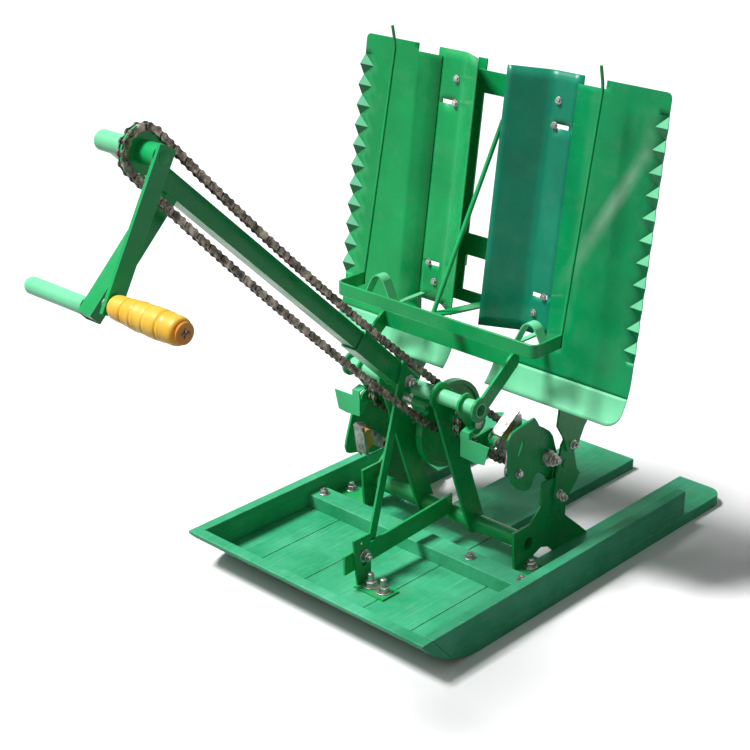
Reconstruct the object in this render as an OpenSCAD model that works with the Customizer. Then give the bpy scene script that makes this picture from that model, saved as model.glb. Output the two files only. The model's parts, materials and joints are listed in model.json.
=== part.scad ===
// Hand-cranked two-row rice transplanter on a wooden float.
// X runs across the machine, the operator's side is -Y, Z is up and the
// ground is z = 0. The lower cross tube stands over y = 0.

/* [Float] */
// Overall width of the wooden float
float_w = 460; // [400:2:560]
// Thickness of the floor boards
board_t = 18; // [14:1:24]
// Height of the side rails above the floor boards
rail_h = 42; // [30:1:60]
// Thickness of the side rails and of the bow board
rail_t = 17; // [12:1:22]
// Distance from the lower cross tube forward to the bow
float_front = 318; // [290:2:360]
// Distance from the lower cross tube back to the tails of the boards
float_rear = 397; // [340:2:450]
// Width of the middle tongue between the planting slots
tongue_w = 116; // [90:2:140]
// Width of each planting slot in the float
slot_w = 89; // [76:1:100]

/* [Frame] */
// Height of the lower cross tube above ground
tube_z = 54; // [50:1:62]
// Outer diameter of the lower cross tube
tube_d = 25; // [20:1:30]
// Distance the main cross tube stands forward of the lower one
main_fwd = 84; // [74:1:96]
// Height of the main cross tube above ground
main_z = 285; // [275:1:300]
// Outer diameter of the main cross tube and of the bearing tubes
bearing_d = 22; // [20:1:24]
// Diameter of the drive shaft and of the crank axle
shaft_d = 16; // [12:1:17]
// Spacing between the two slanted frame plates
frame_gap = 100; // [96:1:110]

// Distance from the main cross tube down to the drive shaft
drive_gap = 45; // [44:0.5:52]

/* [Boom and crank] */
// Length of the boom from the crank axle to the main cross tube
boom_len = 660; // [600:5:720]
// Slope of the boom above level in degrees
boom_angle = 42.7; // [38:0.1:47]
// Teeth on each drive sprocket
drive_teeth = 14; // [12:1:16]
// Side of the square boom tube
boom_side = 25; // [20:1:30]
// Centre distance of the crank arm
crank_r = 173; // [150:1:190]
// Angle of the resting crank arm behind straight down in degrees
crank_rest = 28.6; // [0:0.1:60]
// Length of the turning hand grip
grip_len = 114; // [100:1:130]

/* [Planting] */
// Throw of the planting cranks
throw_r = 18; // [12:1:20]
// Chain links between the drive shaft and the planting shaft
side_links = 8.5; // [8:0.5:9.5]
// Fall of the side chains below level in degrees
side_angle = 38.6; // [35:0.1:42]

/* [Tray] */
// Overall width of the seedling tray
tray_w = 544; // [500:2:580]
// Height of the top edge of the tray above ground
tray_top = 718; // [680:1:760]
// Lean of the tray back from upright in degrees
tray_lean = 7.7; // [5:0.1:10]
// Distance from the middle to the inner edge of each outer sheet
tray_in = 122; // [110:1:130]
// Travel of the tray to each side of its middle position
tray_travel = 40; // [20:1:45]

/* [Hidden] */
$fn = 48;
sides = [-1, 1];
pitch = 12.7;
eps = 0.01;
run_fit = 0.06;      // radial clearance of a turning pin in its bore
bolt_fit = 0.4;      // radial clearance of a bolt in its hole
flat_in = 0.1;       // sides of a round-ended bar stay inside its end circles
sheet_t = 1.5;
plate_t = 4;
half_w = float_w / 2;
half_t = tongue_w / 2;
slot_out = half_t + slot_w;
rail_top = board_t + rail_h;
rail_rear = float_rear - 111;
nose_r = 163;
nose_back = float_front - 123;
nose_cut = float_front - 56;
bow_back = rail_t + 1 - float_front;
slot_front = 30;
beam_y = [-88, -52];
beam_h = 22;
// Main points in the YZ plane
cross_c = [0, tube_z];
main_c = [-main_fwd, main_z];
drive_fall = 53.6;
drive_c = main_c + drive_gap * [cos(drive_fall), -sin(drive_fall)];
head_c = [main_c[0] - boom_len * cos(boom_angle),
          main_c[1] + boom_len * sin(boom_angle)];
pin_c = [head_c[0] - crank_r * sin(crank_rest),
         head_c[1] - crank_r * cos(crank_rest)];
plant_c = [drive_c[0] + side_links * pitch * cos(side_angle),
           drive_c[1] - side_links * pitch * sin(side_angle)];
throw_rest = -20;
pivot_c = [plant_c[0] + 46, plant_c[1] - 23];
rail_c = [92, 432];
rail_d = 14;
boss_in = frame_gap / 2 - 2.5;
// Chain drive
chain_x = 25;
side_teeth = 12;
function pitch_r(teeth) = pitch / 2 / sin(180 / teeth);
roller_r = 4;
tooth_h = 3.2;
chain_fall = atan2(head_c[1] - drive_c[1], drive_c[0] - head_c[0]);
sag = 10;            // hang of each long chain run at its middle
// Feed wheel on the planting shaft
wheel_x = [-34, -22];
wheel_r = 68;
// Boom
boom_x = -boom_side / 2;
sleeve_side = boom_side + 5;
sleeve_from = 511;
head_x = [-45, 8];
head_d = 25;
guide_c = head_c + [-54, -183.6];
guide_x = [-128, -boom_side];
guide_d = 22;
// Crank
crank_x = 58;
crank_t = 5;
crank_w = 25;
// Planting: stations across the machine, from the brackets inwards
arm_x = slot_out - 9;
arm_t = 4;
web_x = slot_out - 18;
hold_x0 = slot_out - 25;
claw_x = slot_out - 43;
plate_x = claw_x - 10;
side_x = plate_x - 13;
tube_out = side_x - 11;
rocker_x = arm_x + arm_t + 1.5;
arm_pin = [44, 175.3];  // crank pin of an arm as it is drawn
// Rise of the planting shaft over its drawn place
lift = plant_c - [27.07, 181.43];
arm_turn = [65, 0];  // rest angle of the left and of the right arm
pin_d = 12;
plant_d = 14;
function pin_at(s) = plant_c + s * throw_r * [cos(throw_rest), sin(throw_rest)];
// Tray plane: a point [y, z] a distance s down from the top edge
tray_y = 109;
function tray_p(s) = [tray_y - s * sin(tray_lean), tray_top - s * cos(tray_lean)];
tray_half = tray_w / 2;
rail_s = (tray_top - rail_c[1]) * cos(tray_lean) + (tray_y - rail_c[0]) * sin(tray_lean);
tray_run = 390;      // straight length of the outer sheets
lip_r = 111;
lip_turn = 38;
lip_in = 40;         // the lip reaches in past the sheet, to here

// Sub-part to draw

green = [0.09, 0.5, 0.27];
pale = [0.55, 0.8, 0.65];
steel = [0.62, 0.63, 0.62];
dark = [0.24, 0.21, 0.18];

// ---- helpers ----
// Extrude a YZ outline across X from x0 over a width w
module across(x0, w) {
  translate([x0, 0, 0]) rotate([90, 0, 90]) linear_extrude(w) children();
}
// Round bar across X centred on a YZ point
module bar(c, x0, w, d) {
  translate([x0, c[0], c[1]]) rotate([0, 90, 0]) cylinder(d = d, h = w);
}
// Mirror to the given side
module side(s) {
  if (s > 0) children();
  else mirror([1, 0, 0]) children();
}
// Flat bar outline between two YZ points, with rounded ends
module link2d(a, b, w) {
  d = b - a;
  translate(a) {
    circle(d = w);
    rotate(atan2(d[1], d[0])) translate([0, flat_in - w / 2])
      square([norm(d), w - 2 * flat_in]);
  }
  translate(b) circle(d = w);
}

// ---- wooden float ----
// Side outline of the boards with the ski nose, from y0 to y1
module board2d(y0, y1) {
  intersection() {
    translate([y0, 0]) square([y1 - y0, board_t]);
    union() {
      translate([-nose_back, 0]) square([nose_back + float_rear, nose_r]);
      translate([-nose_back, nose_r]) circle(r = nose_r, $fn = 180);
    }
  }
}
module tongue_board() {
  color(green) across(-half_t + 0.5, tongue_w - 1) board2d(-nose_cut, float_rear);
}
module skid_boards() {
  corner = 24;
  color(green) for (s = sides) side(s) difference() {
    across(slot_out + 0.5, half_w - slot_out - 0.5) board2d(-nose_cut, float_rear);
    translate([half_w - corner, float_rear - corner, -1]) difference() {
      cube([corner + 1, corner + 1, board_t + 2]);
      translate([0, 0, -1]) cylinder(r = corner, h = board_t + 4);
    }
  }
}
module floor_boards() {
  color(green) for (s = sides) side(s)
    across(half_t + 0.5, slot_w - 1) board2d(-nose_cut, slot_front);
}
module bow_board() {
  color(green) across(-half_w, float_w) intersection() {
    polygon([[-float_front, 0], [-nose_cut, 0], [-nose_cut, board_t],
      [bow_back, rail_top], [-float_front, rail_top]]);
    translate([-nose_back, nose_r]) circle(r = nose_r, $fn = 180);
  }
}
module rail(s) {
  color(green) side(s) across(half_w - rail_t, rail_t) polygon([[bow_back, rail_top],
    [-nose_cut, board_t], [rail_rear, board_t], [rail_rear, rail_top]]);
}
module rail_left() rail(-1);
module rail_right() rail(1);
module cross_beam() {
  color(green) translate([-half_w + rail_t, beam_y[0], board_t])
    cube([float_w - 2 * rail_t, beam_y[1] - beam_y[0], beam_h]);
}

// ---- steel frame ----
foot_out = half_w - rail_t - 1;
foot_bolts = [slot_out + 14, foot_out - 13];
plate_bolts = [[63, 113], [72, 104]];
bolt_d = 8.8;
module bracket(s) {
  z0 = board_t;
  color(green) side(s) difference() {
    union() {
      across(slot_out, plate_t) polygon([[-30, z0], [-35, 83], [4, 84], [26, 104],
        [29, 140], [64, 140], [80, 118], [86, 98], [86, 68], [122, 37], [143, z0],
        [60, z0], [48, 30], [30, 36], [14, 30], [8, z0]]);
      translate([slot_out, -30, z0]) cube([foot_out - slot_out, 38, plate_t]);
    }
    bar(cross_c, slot_out - 1, plate_t + 2, tube_d);
    for (p = plate_bolts) bar(p, slot_out - 1, plate_t + 2, bolt_d);
    for (x = foot_bolts) translate([x, -6, z0 - 1]) cylinder(d = bolt_d, h = plate_t + 2);
  }
}
module bracket_left() bracket(-1);
module bracket_right() bracket(1);
module cross_tube() {
  half = slot_out + plate_t;
  color(green) difference() {
    bar(cross_c, -half, 2 * half, tube_d);
    bar(cross_c, -half - 1, 2 * half + 2, tube_d - 5);
  }
}
module frame_plate(s) {
  ear = cross_c + 0.52 * (main_c - cross_c);
  color(green) side(s) difference() {
    across(boss_in, 5) {
      link2d(cross_c, main_c, 35);
      link2d(main_c, drive_c, 40);
      link2d(ear, plant_c, 32);
    }
    bar(cross_c, boss_in - 1, 7, tube_d);
    for (c = [main_c, drive_c, plant_c]) bar(c, boss_in - 1, 7, bearing_d);
  }
}
module frame_plate_left() frame_plate(-1);
module frame_plate_right() frame_plate(1);
// Bearing tubes carry a turning shaft of diameter d
module bearing(c, x0, x1, d) {
  difference() {
    bar(c, x0, x1 - x0, bearing_d);
    bar(c, x0 - 1, x1 - x0 + 2, d + 2 * run_fit);
  }
}
main_half = hold_x0 + 3;
module main_tube() {
  color(green) difference() {
    bar(main_c, -main_half, 2 * main_half, bearing_d);
    bar(main_c, -main_half - 1, 2 * main_half + 2, bearing_d - 5);
  }
}
module drive_tubes() {
  color(green) for (s = sides) side(s) {
    bearing(drive_c, boss_in - 6, side_x - 12, shaft_d);
    bearing(drive_c, plate_x - 1, plate_x + plate_t + 2, shaft_d);
  }
}
// Outer bearing plates of the drive shaft, hung from the main cross tube
module drive_plates() {
  color(green) for (s = sides) side(s) difference() {
    across(plate_x, plate_t) {
      link2d(main_c, drive_c, 34);
      link2d(drive_c, guard_c, 16);
    }
    bar(main_c, plate_x - 1, plate_t + 2, bearing_d);
    bar(drive_c, plate_x - 1, plate_t + 2, bearing_d);
  }
}
module planting_tubes() {
  color(green) for (s = sides) side(s) bearing(plant_c, boss_in - 6, tube_out, plant_d);
}
strut_x = boom_x + sleeve_side / 2;
strap_x = strut_x + plate_t;
depth_x = strap_x + plate_t;
module depth_bracket() {
  z0 = board_t;
  color(green) difference() {
    union() {
      across(depth_x, 3) polygon([[-214, z0], [-222, 94], [-187, 94], [-186, z0]]);
      translate([depth_x, -220, z0]) cube([57, 34, 3]);
    }
    for (p = [[-205, 85], [-205, 71]]) bar(p, depth_x - 1, 5, 5);
    across(depth_x - 1, 5) {
      for (z = [51, 63]) translate([-200, z]) circle(d = 8.6);
      translate([-204.2, 51]) square([8.4, 12]);
    }
    for (x = [29, 53]) translate([x, -203, z0 - 1]) cylinder(d = 8.6, h = 5);
  }
}
module depth_strap() {
  color(green) difference() {
    across(strap_x, plate_t)
      polygon([[-236, 44], [-236, 74], [-6, tube_z + 34], [-6, tube_z + 4]]);
    bar(cross_c, strap_x - 1, plate_t + 2, tube_d);
    bar([-200, 60], strap_x - 1, plate_t + 2, 8.6);
  }
}
module strut() {
  color(green) difference() {
    across(strut_x, plate_t) {
      link2d([-200, 60], [-182, 64], 22);
      link2d([-180.6, 62], main_c + [-23.7, 43], 14);
    }
    bar([-200, 60], strut_x - 1, plate_t + 2, 8.6);
  }
}
// Boom frame: local x along the boom from the head down to the main shaft
module along_boom() {
  translate([0, head_c[0], head_c[1]]) rotate([-boom_angle, 0, 0]) children();
}
module sleeve() {
  color(green) difference() {
    along_boom() translate([boom_x, 0, 0]) {
      difference() {
        translate([-sleeve_side / 2, sleeve_from, -sleeve_side / 2])
          cube([sleeve_side, boom_len - sleeve_from, sleeve_side]);
        translate([-boom_side / 2, sleeve_from - 1, -boom_side / 2])
          cube([boom_side, boom_len - sleeve_from - 28, boom_side]);
      }
    }
    bar(main_c, -40, 60, bearing_d);
  }
}
module boom() {
  color(green) difference() {
    along_boom() translate([boom_x, 0, 0]) difference() {
      translate([-boom_side / 2, 0, -boom_side / 2])
        cube([boom_side, boom_len - 29, boom_side]);
      translate([-boom_side / 2 + 2, -1, -boom_side / 2 + 2])
        cube([boom_side - 4, boom_len - 27, boom_side - 4]);
    }
    bar(head_c, -60, 80, head_d);
  }
}
module head_tube() {
  color(green) difference() {
    bar(head_c, head_x[0], head_x[1] - head_x[0], head_d);
    bar(head_c, head_x[0] - 1, head_x[1] - head_x[0] + 2, shaft_d + 2 * run_fit);
  }
}
// The hanger runs from the underside of the boom straight to the guide grip
hanger_top = head_c + [49, -83];
hanger_run = hanger_top - guide_c;
hanger_angle = atan2(hanger_run[1], hanger_run[0]);
hanger_len = norm(hanger_run) + guide_d;
module hanger() {
  color(green) difference() {
    translate([boom_x, hanger_top[0], hanger_top[1]]) rotate([hanger_angle, 0, 0])
      translate([-boom_side / 2, -hanger_len + 10, -10]) difference() {
        cube([boom_side, hanger_len + 30, 20]);
        translate([2, -1, 2]) cube([boom_side - 4, hanger_len + 32, 16]);
      }
    along_boom() translate([-60, -20, -boom_side / 2]) cube([120, 700, 200]);
  }
}
module guide_grip() {
  color(green) difference() {
    union() {
      bar(guide_c, guide_x[0], guide_x[1] - guide_x[0], guide_d);
      translate([guide_x[0], guide_c[0], guide_c[1]]) sphere(d = guide_d);
    }
    bar(guide_c, guide_x[0] + 2, guide_x[1] - guide_x[0], guide_d - 4);
  }
}
module hoop() {
  leg = main_half - 1;
  top = main_c + [70, 51];
  color(green) difference() {
    union() {
      for (s = sides) side(s) across(leg - plate_t, plate_t) {
        link2d(main_c, top, 24);
        translate(main_c) circle(r = 18);
      }
      translate([-leg, top[0], top[1] - 12]) cube([2 * leg, plate_t, 24]);
    }
    bar(main_c, -leg - 1, 2 * leg + 2, bearing_d);
  }
}
module rear_plate(s) {
  color(green) side(s) difference() {
    across(slot_out + plate_t, plate_t) polygon([lift + [84, 198], lift + [72, 198],
      lift + [65, 190], lift + [60, 164], [51, 112], [55, 103], [67, 99], [86, 100],
      [103, 118], lift + [112, 130], lift + [104, 140], lift + [96, 168],
      lift + [95, 190]]);
    for (p = plate_bolts) bar(p, slot_out, 12, bolt_d);
    bar(pivot_c, slot_out, 12, pin_d + 2 * run_fit);
    bar(post_bolt, slot_out, 12, bolt_d);
  }
}
module rear_plate_left() rear_plate(-1);
module rear_plate_right() rear_plate(1);
post_bolt = lift + [86, 186];
// Post behind the rear plate's head, up to the slide rail
module post(s) {
  color(green) side(s) difference() {
    across(slot_out + 2 * plate_t, plate_t) polygon([lift + [74, 178], lift + [96, 176],
      lift + [112, 206], lift + [121, 216], rail_c + [14, -132], rail_c + [16, 14],
      rail_c + [-10, 14], rail_c + [-22, -87], rail_c + [-29, -132],
      lift + [52, 256], lift + [48, 226], lift + [62, 206]]);
    bar(post_bolt, slot_out, 16, bolt_d);
    bar(rail_c, slot_out, 16, rail_d);
  }
}
module post_left() post(-1);
module post_right() post(1);
// Folded shield in front of each claw, held by its drive plate
guard_c = main_c - [0, 45];
module guard(s) {
  front = -8;
  color(pale) side(s) difference() {
    translate([plate_x, guard_c[0], guard_c[1]]) {
      translate([0, front, 0]) rotate([90, 0, 0]) linear_extrude(sheet_t)
        polygon([[3, -30], [30, -32], [46, -30], [54, -1], [3, 0]]);
      across(plate_t, 14)
        polygon([[front - sheet_t, -2], [front, -2], [front + 1, 8], [front + 14, 11.2],
          [front + 14, 12.7], [front - sheet_t, 9.4]]);
      across(plate_t, sheet_t)
        polygon([[front - sheet_t, -29], [front - sheet_t, 0], [front + 16, 12],
          [front + 24, -4], [front + 6, -29]]);
    }
    bar(drive_c, plate_x - 4, 60, bearing_d);
  }
}
module guard_left() guard(-1);
module guard_right() guard(1);
module slide_rail() {
  half = slot_out + 3 * plate_t + 4;
  color(steel) bar(rail_c, -half, 2 * half, rail_d);
}

// ---- drive ----
// Outline of one chain side round two equal sprockets of pitch radius r, the
// long runs hanging by drop at their middle
module chain_side2d(len, r, drop) {
  difference() {
    union() {
      for (x = [0, len]) translate([x, 0]) circle(r = r + 4.3);
      for (z = [-r, r])
        if (drop > 0) chain_run2d(len, z, drop);
        else translate([0, z - 4.2]) square([len, 8.4]);
    }
    for (x = [0, len]) translate([x, 0]) circle(r = r - 4.1);
  }
}
// One hanging run: a band between two wide arcs
module chain_run2d(len, z, drop) {
  big = len * len / 8 / drop + drop / 2;
  translate([len / 2, z + big - drop]) intersection() {
    difference() {
      circle(r = big + 4.2, $fn = 720);
      circle(r = big - 4.2, $fn = 720);
    }
    translate([-len / 2, -big - 10]) square([len, drop + 30]);
  }
}
// Chain loop round the origin and a sprocket len away along y: two side
// ribbons joined by the rollers of the free runs
module chain_loop(x0, len, r, drop) {
  for (x = [x0 - 4.4, x0 + 2.6])
    translate([x, 0, 0]) rotate([90, 0, 90]) linear_extrude(1.8)
      chain_side2d(len, r, drop);
  n = floor(len / pitch);
  for (i = [2 : 2 : n - 2], z = [-r, r])
    translate([x0 - 3.5, i * len / n, z - drop * 4 * (i / n) * (1 - i / n)])
      rotate([0, 90, 0]) cylinder(d = 7.6, h = 7);
}
module drive_chain() {
  color(dark) translate([0, head_c[0], head_c[1]]) rotate([-chain_fall, 0, 0])
    chain_loop(chain_x, norm(head_c - drive_c), pitch_r(drive_teeth), sag);
}
module side_chains() {
  color(dark) for (s = sides) side(s) translate([0, drive_c[0], drive_c[1]])
    rotate([-side_angle, 0, 0]) chain_loop(side_x, side_links * pitch, pitch_r(side_teeth), 0);
}
// Sprocket disc at x with roller seats, its hub from x0 to x1
module sprocket(c, x, teeth, turn, x0, x1, d) {
  r = pitch_r(teeth);
  difference() {
    union() {
      bar(c, x - 1.4, 2.8, 2 * (r + tooth_h));
      bar(c, x0, x1 - x0, 28);
    }
    for (i = [0 : teeth - 1])
      bar(c + r * [cos(turn + i * 360 / teeth), sin(turn + i * 360 / teeth)],
        x - 2, 4, 2 * roller_r);
    bar(c, x0 - 1, x1 - x0 + 2, d);
  }
}
module crank_axle() {
  color(steel) bar(head_c, head_x[0] + 3, crank_x + crank_t - head_x[0] - 3, shaft_d);
}
module crank_sprocket() {
  color(green) sprocket(head_c, chain_x, drive_teeth, 90 - chain_fall, 14, crank_x, shaft_d);
}
module crank_arm() {
  color(green) difference() {
    across(crank_x, crank_t) translate(head_c) rotate(-90 - crank_rest)
      translate([-crank_w / 2, -crank_w / 2]) square([crank_r + crank_w, crank_w]);
    bar(head_c, crank_x - 1, crank_t + 2, shaft_d);
    bar(pin_c, crank_x - 1, crank_t + 2, 12);
  }
}
module crank_pin() {
  color(steel) {
    bar(pin_c, crank_x, crank_t + grip_len + 6, 12);
    bar(pin_c, crank_x + crank_t + grip_len + 3, 3, 20);
  }
}
module grip() {
  color([0.9, 0.7, 0.15]) translate([crank_x + crank_t + 1.5, pin_c[0], pin_c[1]])
    rotate([0, 90, 0]) difference() {
      rotate_extrude() polygon([[6 + run_fit, 0], [13, 0], [15, 3], [15, 22], [14.2, 24],
        [15.6, 26], [15.8, 40], [15, 42], [16.4, 44], [16.8, 62], [16, 64], [17.4, 66],
        [17.6, 84], [16.8, 86], [18, 88], [18, grip_len - 5], [16, grip_len - 1],
        [6 + run_fit, grip_len - 1]]);
    }
}
module drive_shaft() {
  half = plate_x + plate_t + 2;
  color(steel) bar(drive_c, -half, 2 * half, shaft_d);
}
// Boom and side drives on the drive shaft
module drive_sprockets() {
  color(green) {
    sprocket(drive_c, chain_x, drive_teeth, 90 - chain_fall, -16, 40, shaft_d);
    for (s = sides) side(s)
      sprocket(drive_c, side_x, side_teeth, 90 - side_angle, side_x - 10, side_x + 6, shaft_d);
  }
}
module planting_shaft() {
  color(steel) bar(plant_c, -web_x - 5, 2 * web_x + 10, plant_d);
}
module feed_wheel() {
  w = wheel_x[1] - wheel_x[0];
  color(green) difference() {
    union() {
      bar(plant_c, wheel_x[0], w, 2 * wheel_r);
      bar(plant_c, wheel_x[0] - 4, w + 14, 34);
    }
    for (x = [wheel_x[0] - 1, wheel_x[1] - 3]) difference() {
      bar(plant_c, x, 4, 2 * wheel_r - 14);
      bar(plant_c, x - 1, 6, 40);
    }
    bar(plant_c, wheel_x[0] - 5, w + 16, plant_d);
  }
}
// Planting crank: sprocket, outer web, pin and end nut
module planting_crank(s) {
  c = pin_at(s);
  color(steel) side(s) difference() {
    union() {
      sprocket(plant_c, side_x, side_teeth, 90 - side_angle, side_x - 8, side_x + 6, 1);
      across(web_x, 5) link2d(plant_c, c, 27);
      bar(c, web_x, 29, pin_d);
      bar(c, arm_x + arm_t + 3, 5, 24);
      bar(c, arm_x + arm_t + 8, 6, 18);
    }
    bar(plant_c, side_x - 9, web_x + 15 - side_x, plant_d);
  }
}
module crank_left() planting_crank(-1);
module crank_right() planting_crank(1);

// ---- planting arms ----
// An arm is drawn where the right one rests, then moved and turned on its pin
module on_arm(s) {
  b = pin_at(s);
  translate([0, b[0], b[1]]) rotate([arm_turn[s > 0 ? 1 : 0], 0, 0])
    translate([0, -arm_pin[0], -arm_pin[1]]) side(s) children();
}
claw_bolt = [-18, 171];
claw_slot = [[-18, 200], [-10, 216]];
module arm(s) {
  color(green) on_arm(s) difference() {
    union() {
      across(arm_x, arm_t) polygon([[16, 246], [-1, 244], [-24, 241], [-36, 238],
        [-44, 230], [-44, 223], [-41, 210], [-39, 197], [-40, 182], [-36, 170],
        [-30, 158], [-20, 147], [-8, 139], [6, 135], [13, 137], [16, 146], [22, 155],
        [32, 155], [46, 142], [60, 122], [70, 122], [76, 134], [77, 150], [73, 168],
        [66, 186], [60, 203], [51, 214], [37, 224], [27, 230], [22, 238]]);
      bar(arm_pin, arm_x - 3, arm_t + 5, 26);
    }
    bar(arm_pin, arm_x - 5, arm_t + 12, pin_d + 2 * run_fit);
    bar(claw_bolt, arm_x - 1, arm_t + 2, bolt_d);
    across(arm_x - 1, arm_t + 2) link2d(claw_slot[0], claw_slot[1], 5);
  }
}
module arm_left() arm(-1);
module arm_right() arm(1);
// Claw holder behind the arm, with the curved top blade and two tines
module claw(s) {
  color(steel) on_arm(s) {
    difference() {
      union() {
        across(hold_x0, 3) polygon([[-26, 163], [-12, 162], [-6, 190], [8, 236],
          [6, 250], [-6, 246], [-20, 216]]);
        bar(claw_bolt, hold_x0, arm_x - hold_x0, 16);
      }
      bar(claw_bolt, hold_x0 - 1, arm_x - hold_x0 + 2, bolt_d);
    }
    across(claw_x, hold_x0 - claw_x + 1) polygon([[-36, 229], [-34, 226.6], [5, 252.6], [3, 255.6]]);
    for (x = [claw_x, hold_x0 - 3]) across(x, 3)
      polygon([[-41, 219], [-36, 229], [-8, 248], [-6, 244], [-33, 224]]);
  }
}
module claw_left() claw(-1);
module claw_right() claw(1);
module pusher(s) {
  color([0.85, 0.5, 0.12]) on_arm(s) across(claw_x + 4, hold_x0 - claw_x - 8)
    polygon([[-32, 225.6], [-18, 214], [2, 232], [1, 238], [-6, 243.8]]);
}
module pusher_left() pusher(-1);
module pusher_right() pusher(1);
// Rocker on the rear plate; the pivot at the arm's tail is left open
module rocker(s) {
  color(green) side(s) {
    difference() {
      across(rocker_x, 3) link2d(pivot_c, pivot_c + [-9, -35], 22);
      bar(pivot_c + [-9, -35], rocker_x - 1, 5, bolt_d);
    }
    bar(pivot_c, rocker_x + 1, slot_out + 2 * plate_t - rocker_x + 1, pin_d);
  }
}
module rocker_left() rocker(-1);
module rocker_right() rocker(1);

// ---- seedling tray ----
// Side outline of a sheet lying in the tray plane, from s0 to s1 down from the
// top, shifted back by off
module sheet2d(s0, s1, off, t) {
  translate([tray_y, tray_top]) rotate(-tray_lean) translate([off, -s1]) square([t, s1 - s0]);
}
// Curved lip below the straight sheet
module lip2d() {
  translate([tray_y, tray_top]) rotate(-tray_lean) translate([-lip_r, -tray_run]) difference() {
    intersection() {
      circle(r = lip_r + sheet_t, $fn = 120);
      polygon([[0, 0], [2 * lip_r, 0], [2 * lip_r, -2 * lip_r * tan(lip_turn)]]);
    }
    circle(r = lip_r, $fn = 120);
  }
}
module outer_sheet(s) {
  corner = 30;
  color(green) side(s) difference() {
    union() {
      across(tray_in, tray_half - tray_in) {
        sheet2d(0, tray_run, 0, sheet_t);
        lip2d();
      }
      across(lip_in, tray_in - lip_in + 1) lip2d();
    }
    across(tray_in - 1, 47) translate([tray_y, tray_top]) rotate(-tray_lean)
      translate([-5, -12]) square([10, 20]);
  }
}
module tray_left() outer_sheet(-1);
module tray_right() outer_sheet(1);
// Each divider ends in a flange that runs forward and towards the middle
div_in = tray_in - 44;
div_flange = [53, 38];
module divider(s) {
  back = sheet_t + 0.2;
  slope = atan2(div_flange[1], div_flange[0]);
  color(green) side(s) difference() {
    translate([0, tray_y, tray_top]) rotate([-tray_lean, 0, 0])
      translate([0, 0, -372]) linear_extrude(372) polygon([[tray_in + 8, back],
        [tray_in + 8, back + sheet_t], [div_in - sheet_t * tan(slope / 2), back + sheet_t],
        [div_in, back] - div_flange + sheet_t * [-sin(slope), cos(slope)],
        [div_in, back] - div_flange, [div_in, back]]);
    for (d = [78, 318]) translate([0, tray_y, tray_top]) rotate([-tray_lean, 0, 0])
      translate([div_in + 10, -5, -d]) cube([26, 20, 6]);
  }
}
module divider_left() divider(-1);
module divider_right() divider(1);
// Tray frame lies behind the dividers in tray coordinates
module in_tray() {
  translate([0, tray_y, tray_top]) rotate([-tray_lean, 0, 0]) children();
}
frame_off = 2 * sheet_t + 0.4;
module tray_frame() {
  b = frame_off;
  half = tray_in - 12;
  color(green) difference() {
    in_tray() {
      for (d = [52, rail_s + 2.3]) translate([-half, b, -d]) cube([2 * half, 3, 32]);
      for (x = [-60, 44]) translate([x, b + 3, -frame_low]) cube([16, 3, frame_low - 4]);
      translate([-60, b, -frame_low]) cube([120, 3, 18]);
      for (x = [-78, 58]) translate([x, b, -rail_s - 26.3]) cube([20, 26, 40]);
    }
    bar(rail_c, -100, 200, rail_d + 2 * run_fit + 0.6);
  }
}
frame_low = rail_s + 72.3;
// Arched seedling guides, standing in front of the sheets on a flat foot
arch_x = tray_in + 20;
arch_z = tray_top - 336;
arch_r = 14;
arch_open = 27.5;
arch_leg = 36;
arch_foot = [arch_x - 33, arch_z - 27];
module arches() {
  n = [-cos(arch_open), sin(arch_open)];
  d = [-sin(arch_open), -cos(arch_open)];
  color(green) for (s = sides) side(s) {
    translate([arch_x, 9, arch_z]) rotate([90, 0, 0]) linear_extrude(17) {
      intersection() {
        difference() {
          circle(r = arch_r);
          circle(r = arch_r - 2);
        }
        polygon([[0, 0], 30 * n, [0, 40], [-30 * n[0], 30 * n[1]]]);
      }
      for (m = [0, 1]) mirror([m, 0]) polygon([(arch_r - flat_in) * n - 0.6 * d,
        (arch_r - 2 + flat_in) * n - 0.6 * d, (arch_r - 2 + flat_in) * n + arch_leg * d,
        (arch_r - flat_in) * n + arch_leg * d]);
    }
    foot_y = tray_y - (tray_top - arch_foot[1]) * tan(tray_lean)
      + (sheet_t + 0.2) / cos(tray_lean);
    translate([arch_foot[0], -8, arch_foot[1]]) cube([8, foot_y + 8, 3]);
  }
}
hold_x = 185;
module hold_down() {
  color(green) translate([0, 0, tray_top]) {
    // straps in front of the sheets, with bent tips
    for (s = sides) side(s) across(hold_x - 2, 3.5)
      polygon([[68, 30], [72, 30], [80, 0], [10, -350], [4, -350], [74, -2]]);
    // bar across the front with its two returns
    translate([-hold_x - 2, -50, -351]) cube([2 * hold_x + 4, 3.5, 20]);
    for (s = sides) side(s) translate([hold_x - 2, -50, -351]) cube([3.5, 60, 20]);
    // brace rod up to the tray frame and strip back to its foot, cut to meet it
    difference() {
      union() {
        translate([0, -47, -338]) rotate([-29.8, 0, 0]) cylinder(d = 7, h = 310);
        across(-2, 19) polygon([[-48, -335], [-48, -332], [70, -347], [70, -350]]);
      }
      translate([0, tray_y, 0]) rotate([-tray_lean, 0, 0]) translate([-20, frame_off, -400])
        cube([60, 40, 400]);
    }
  }
}

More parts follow.
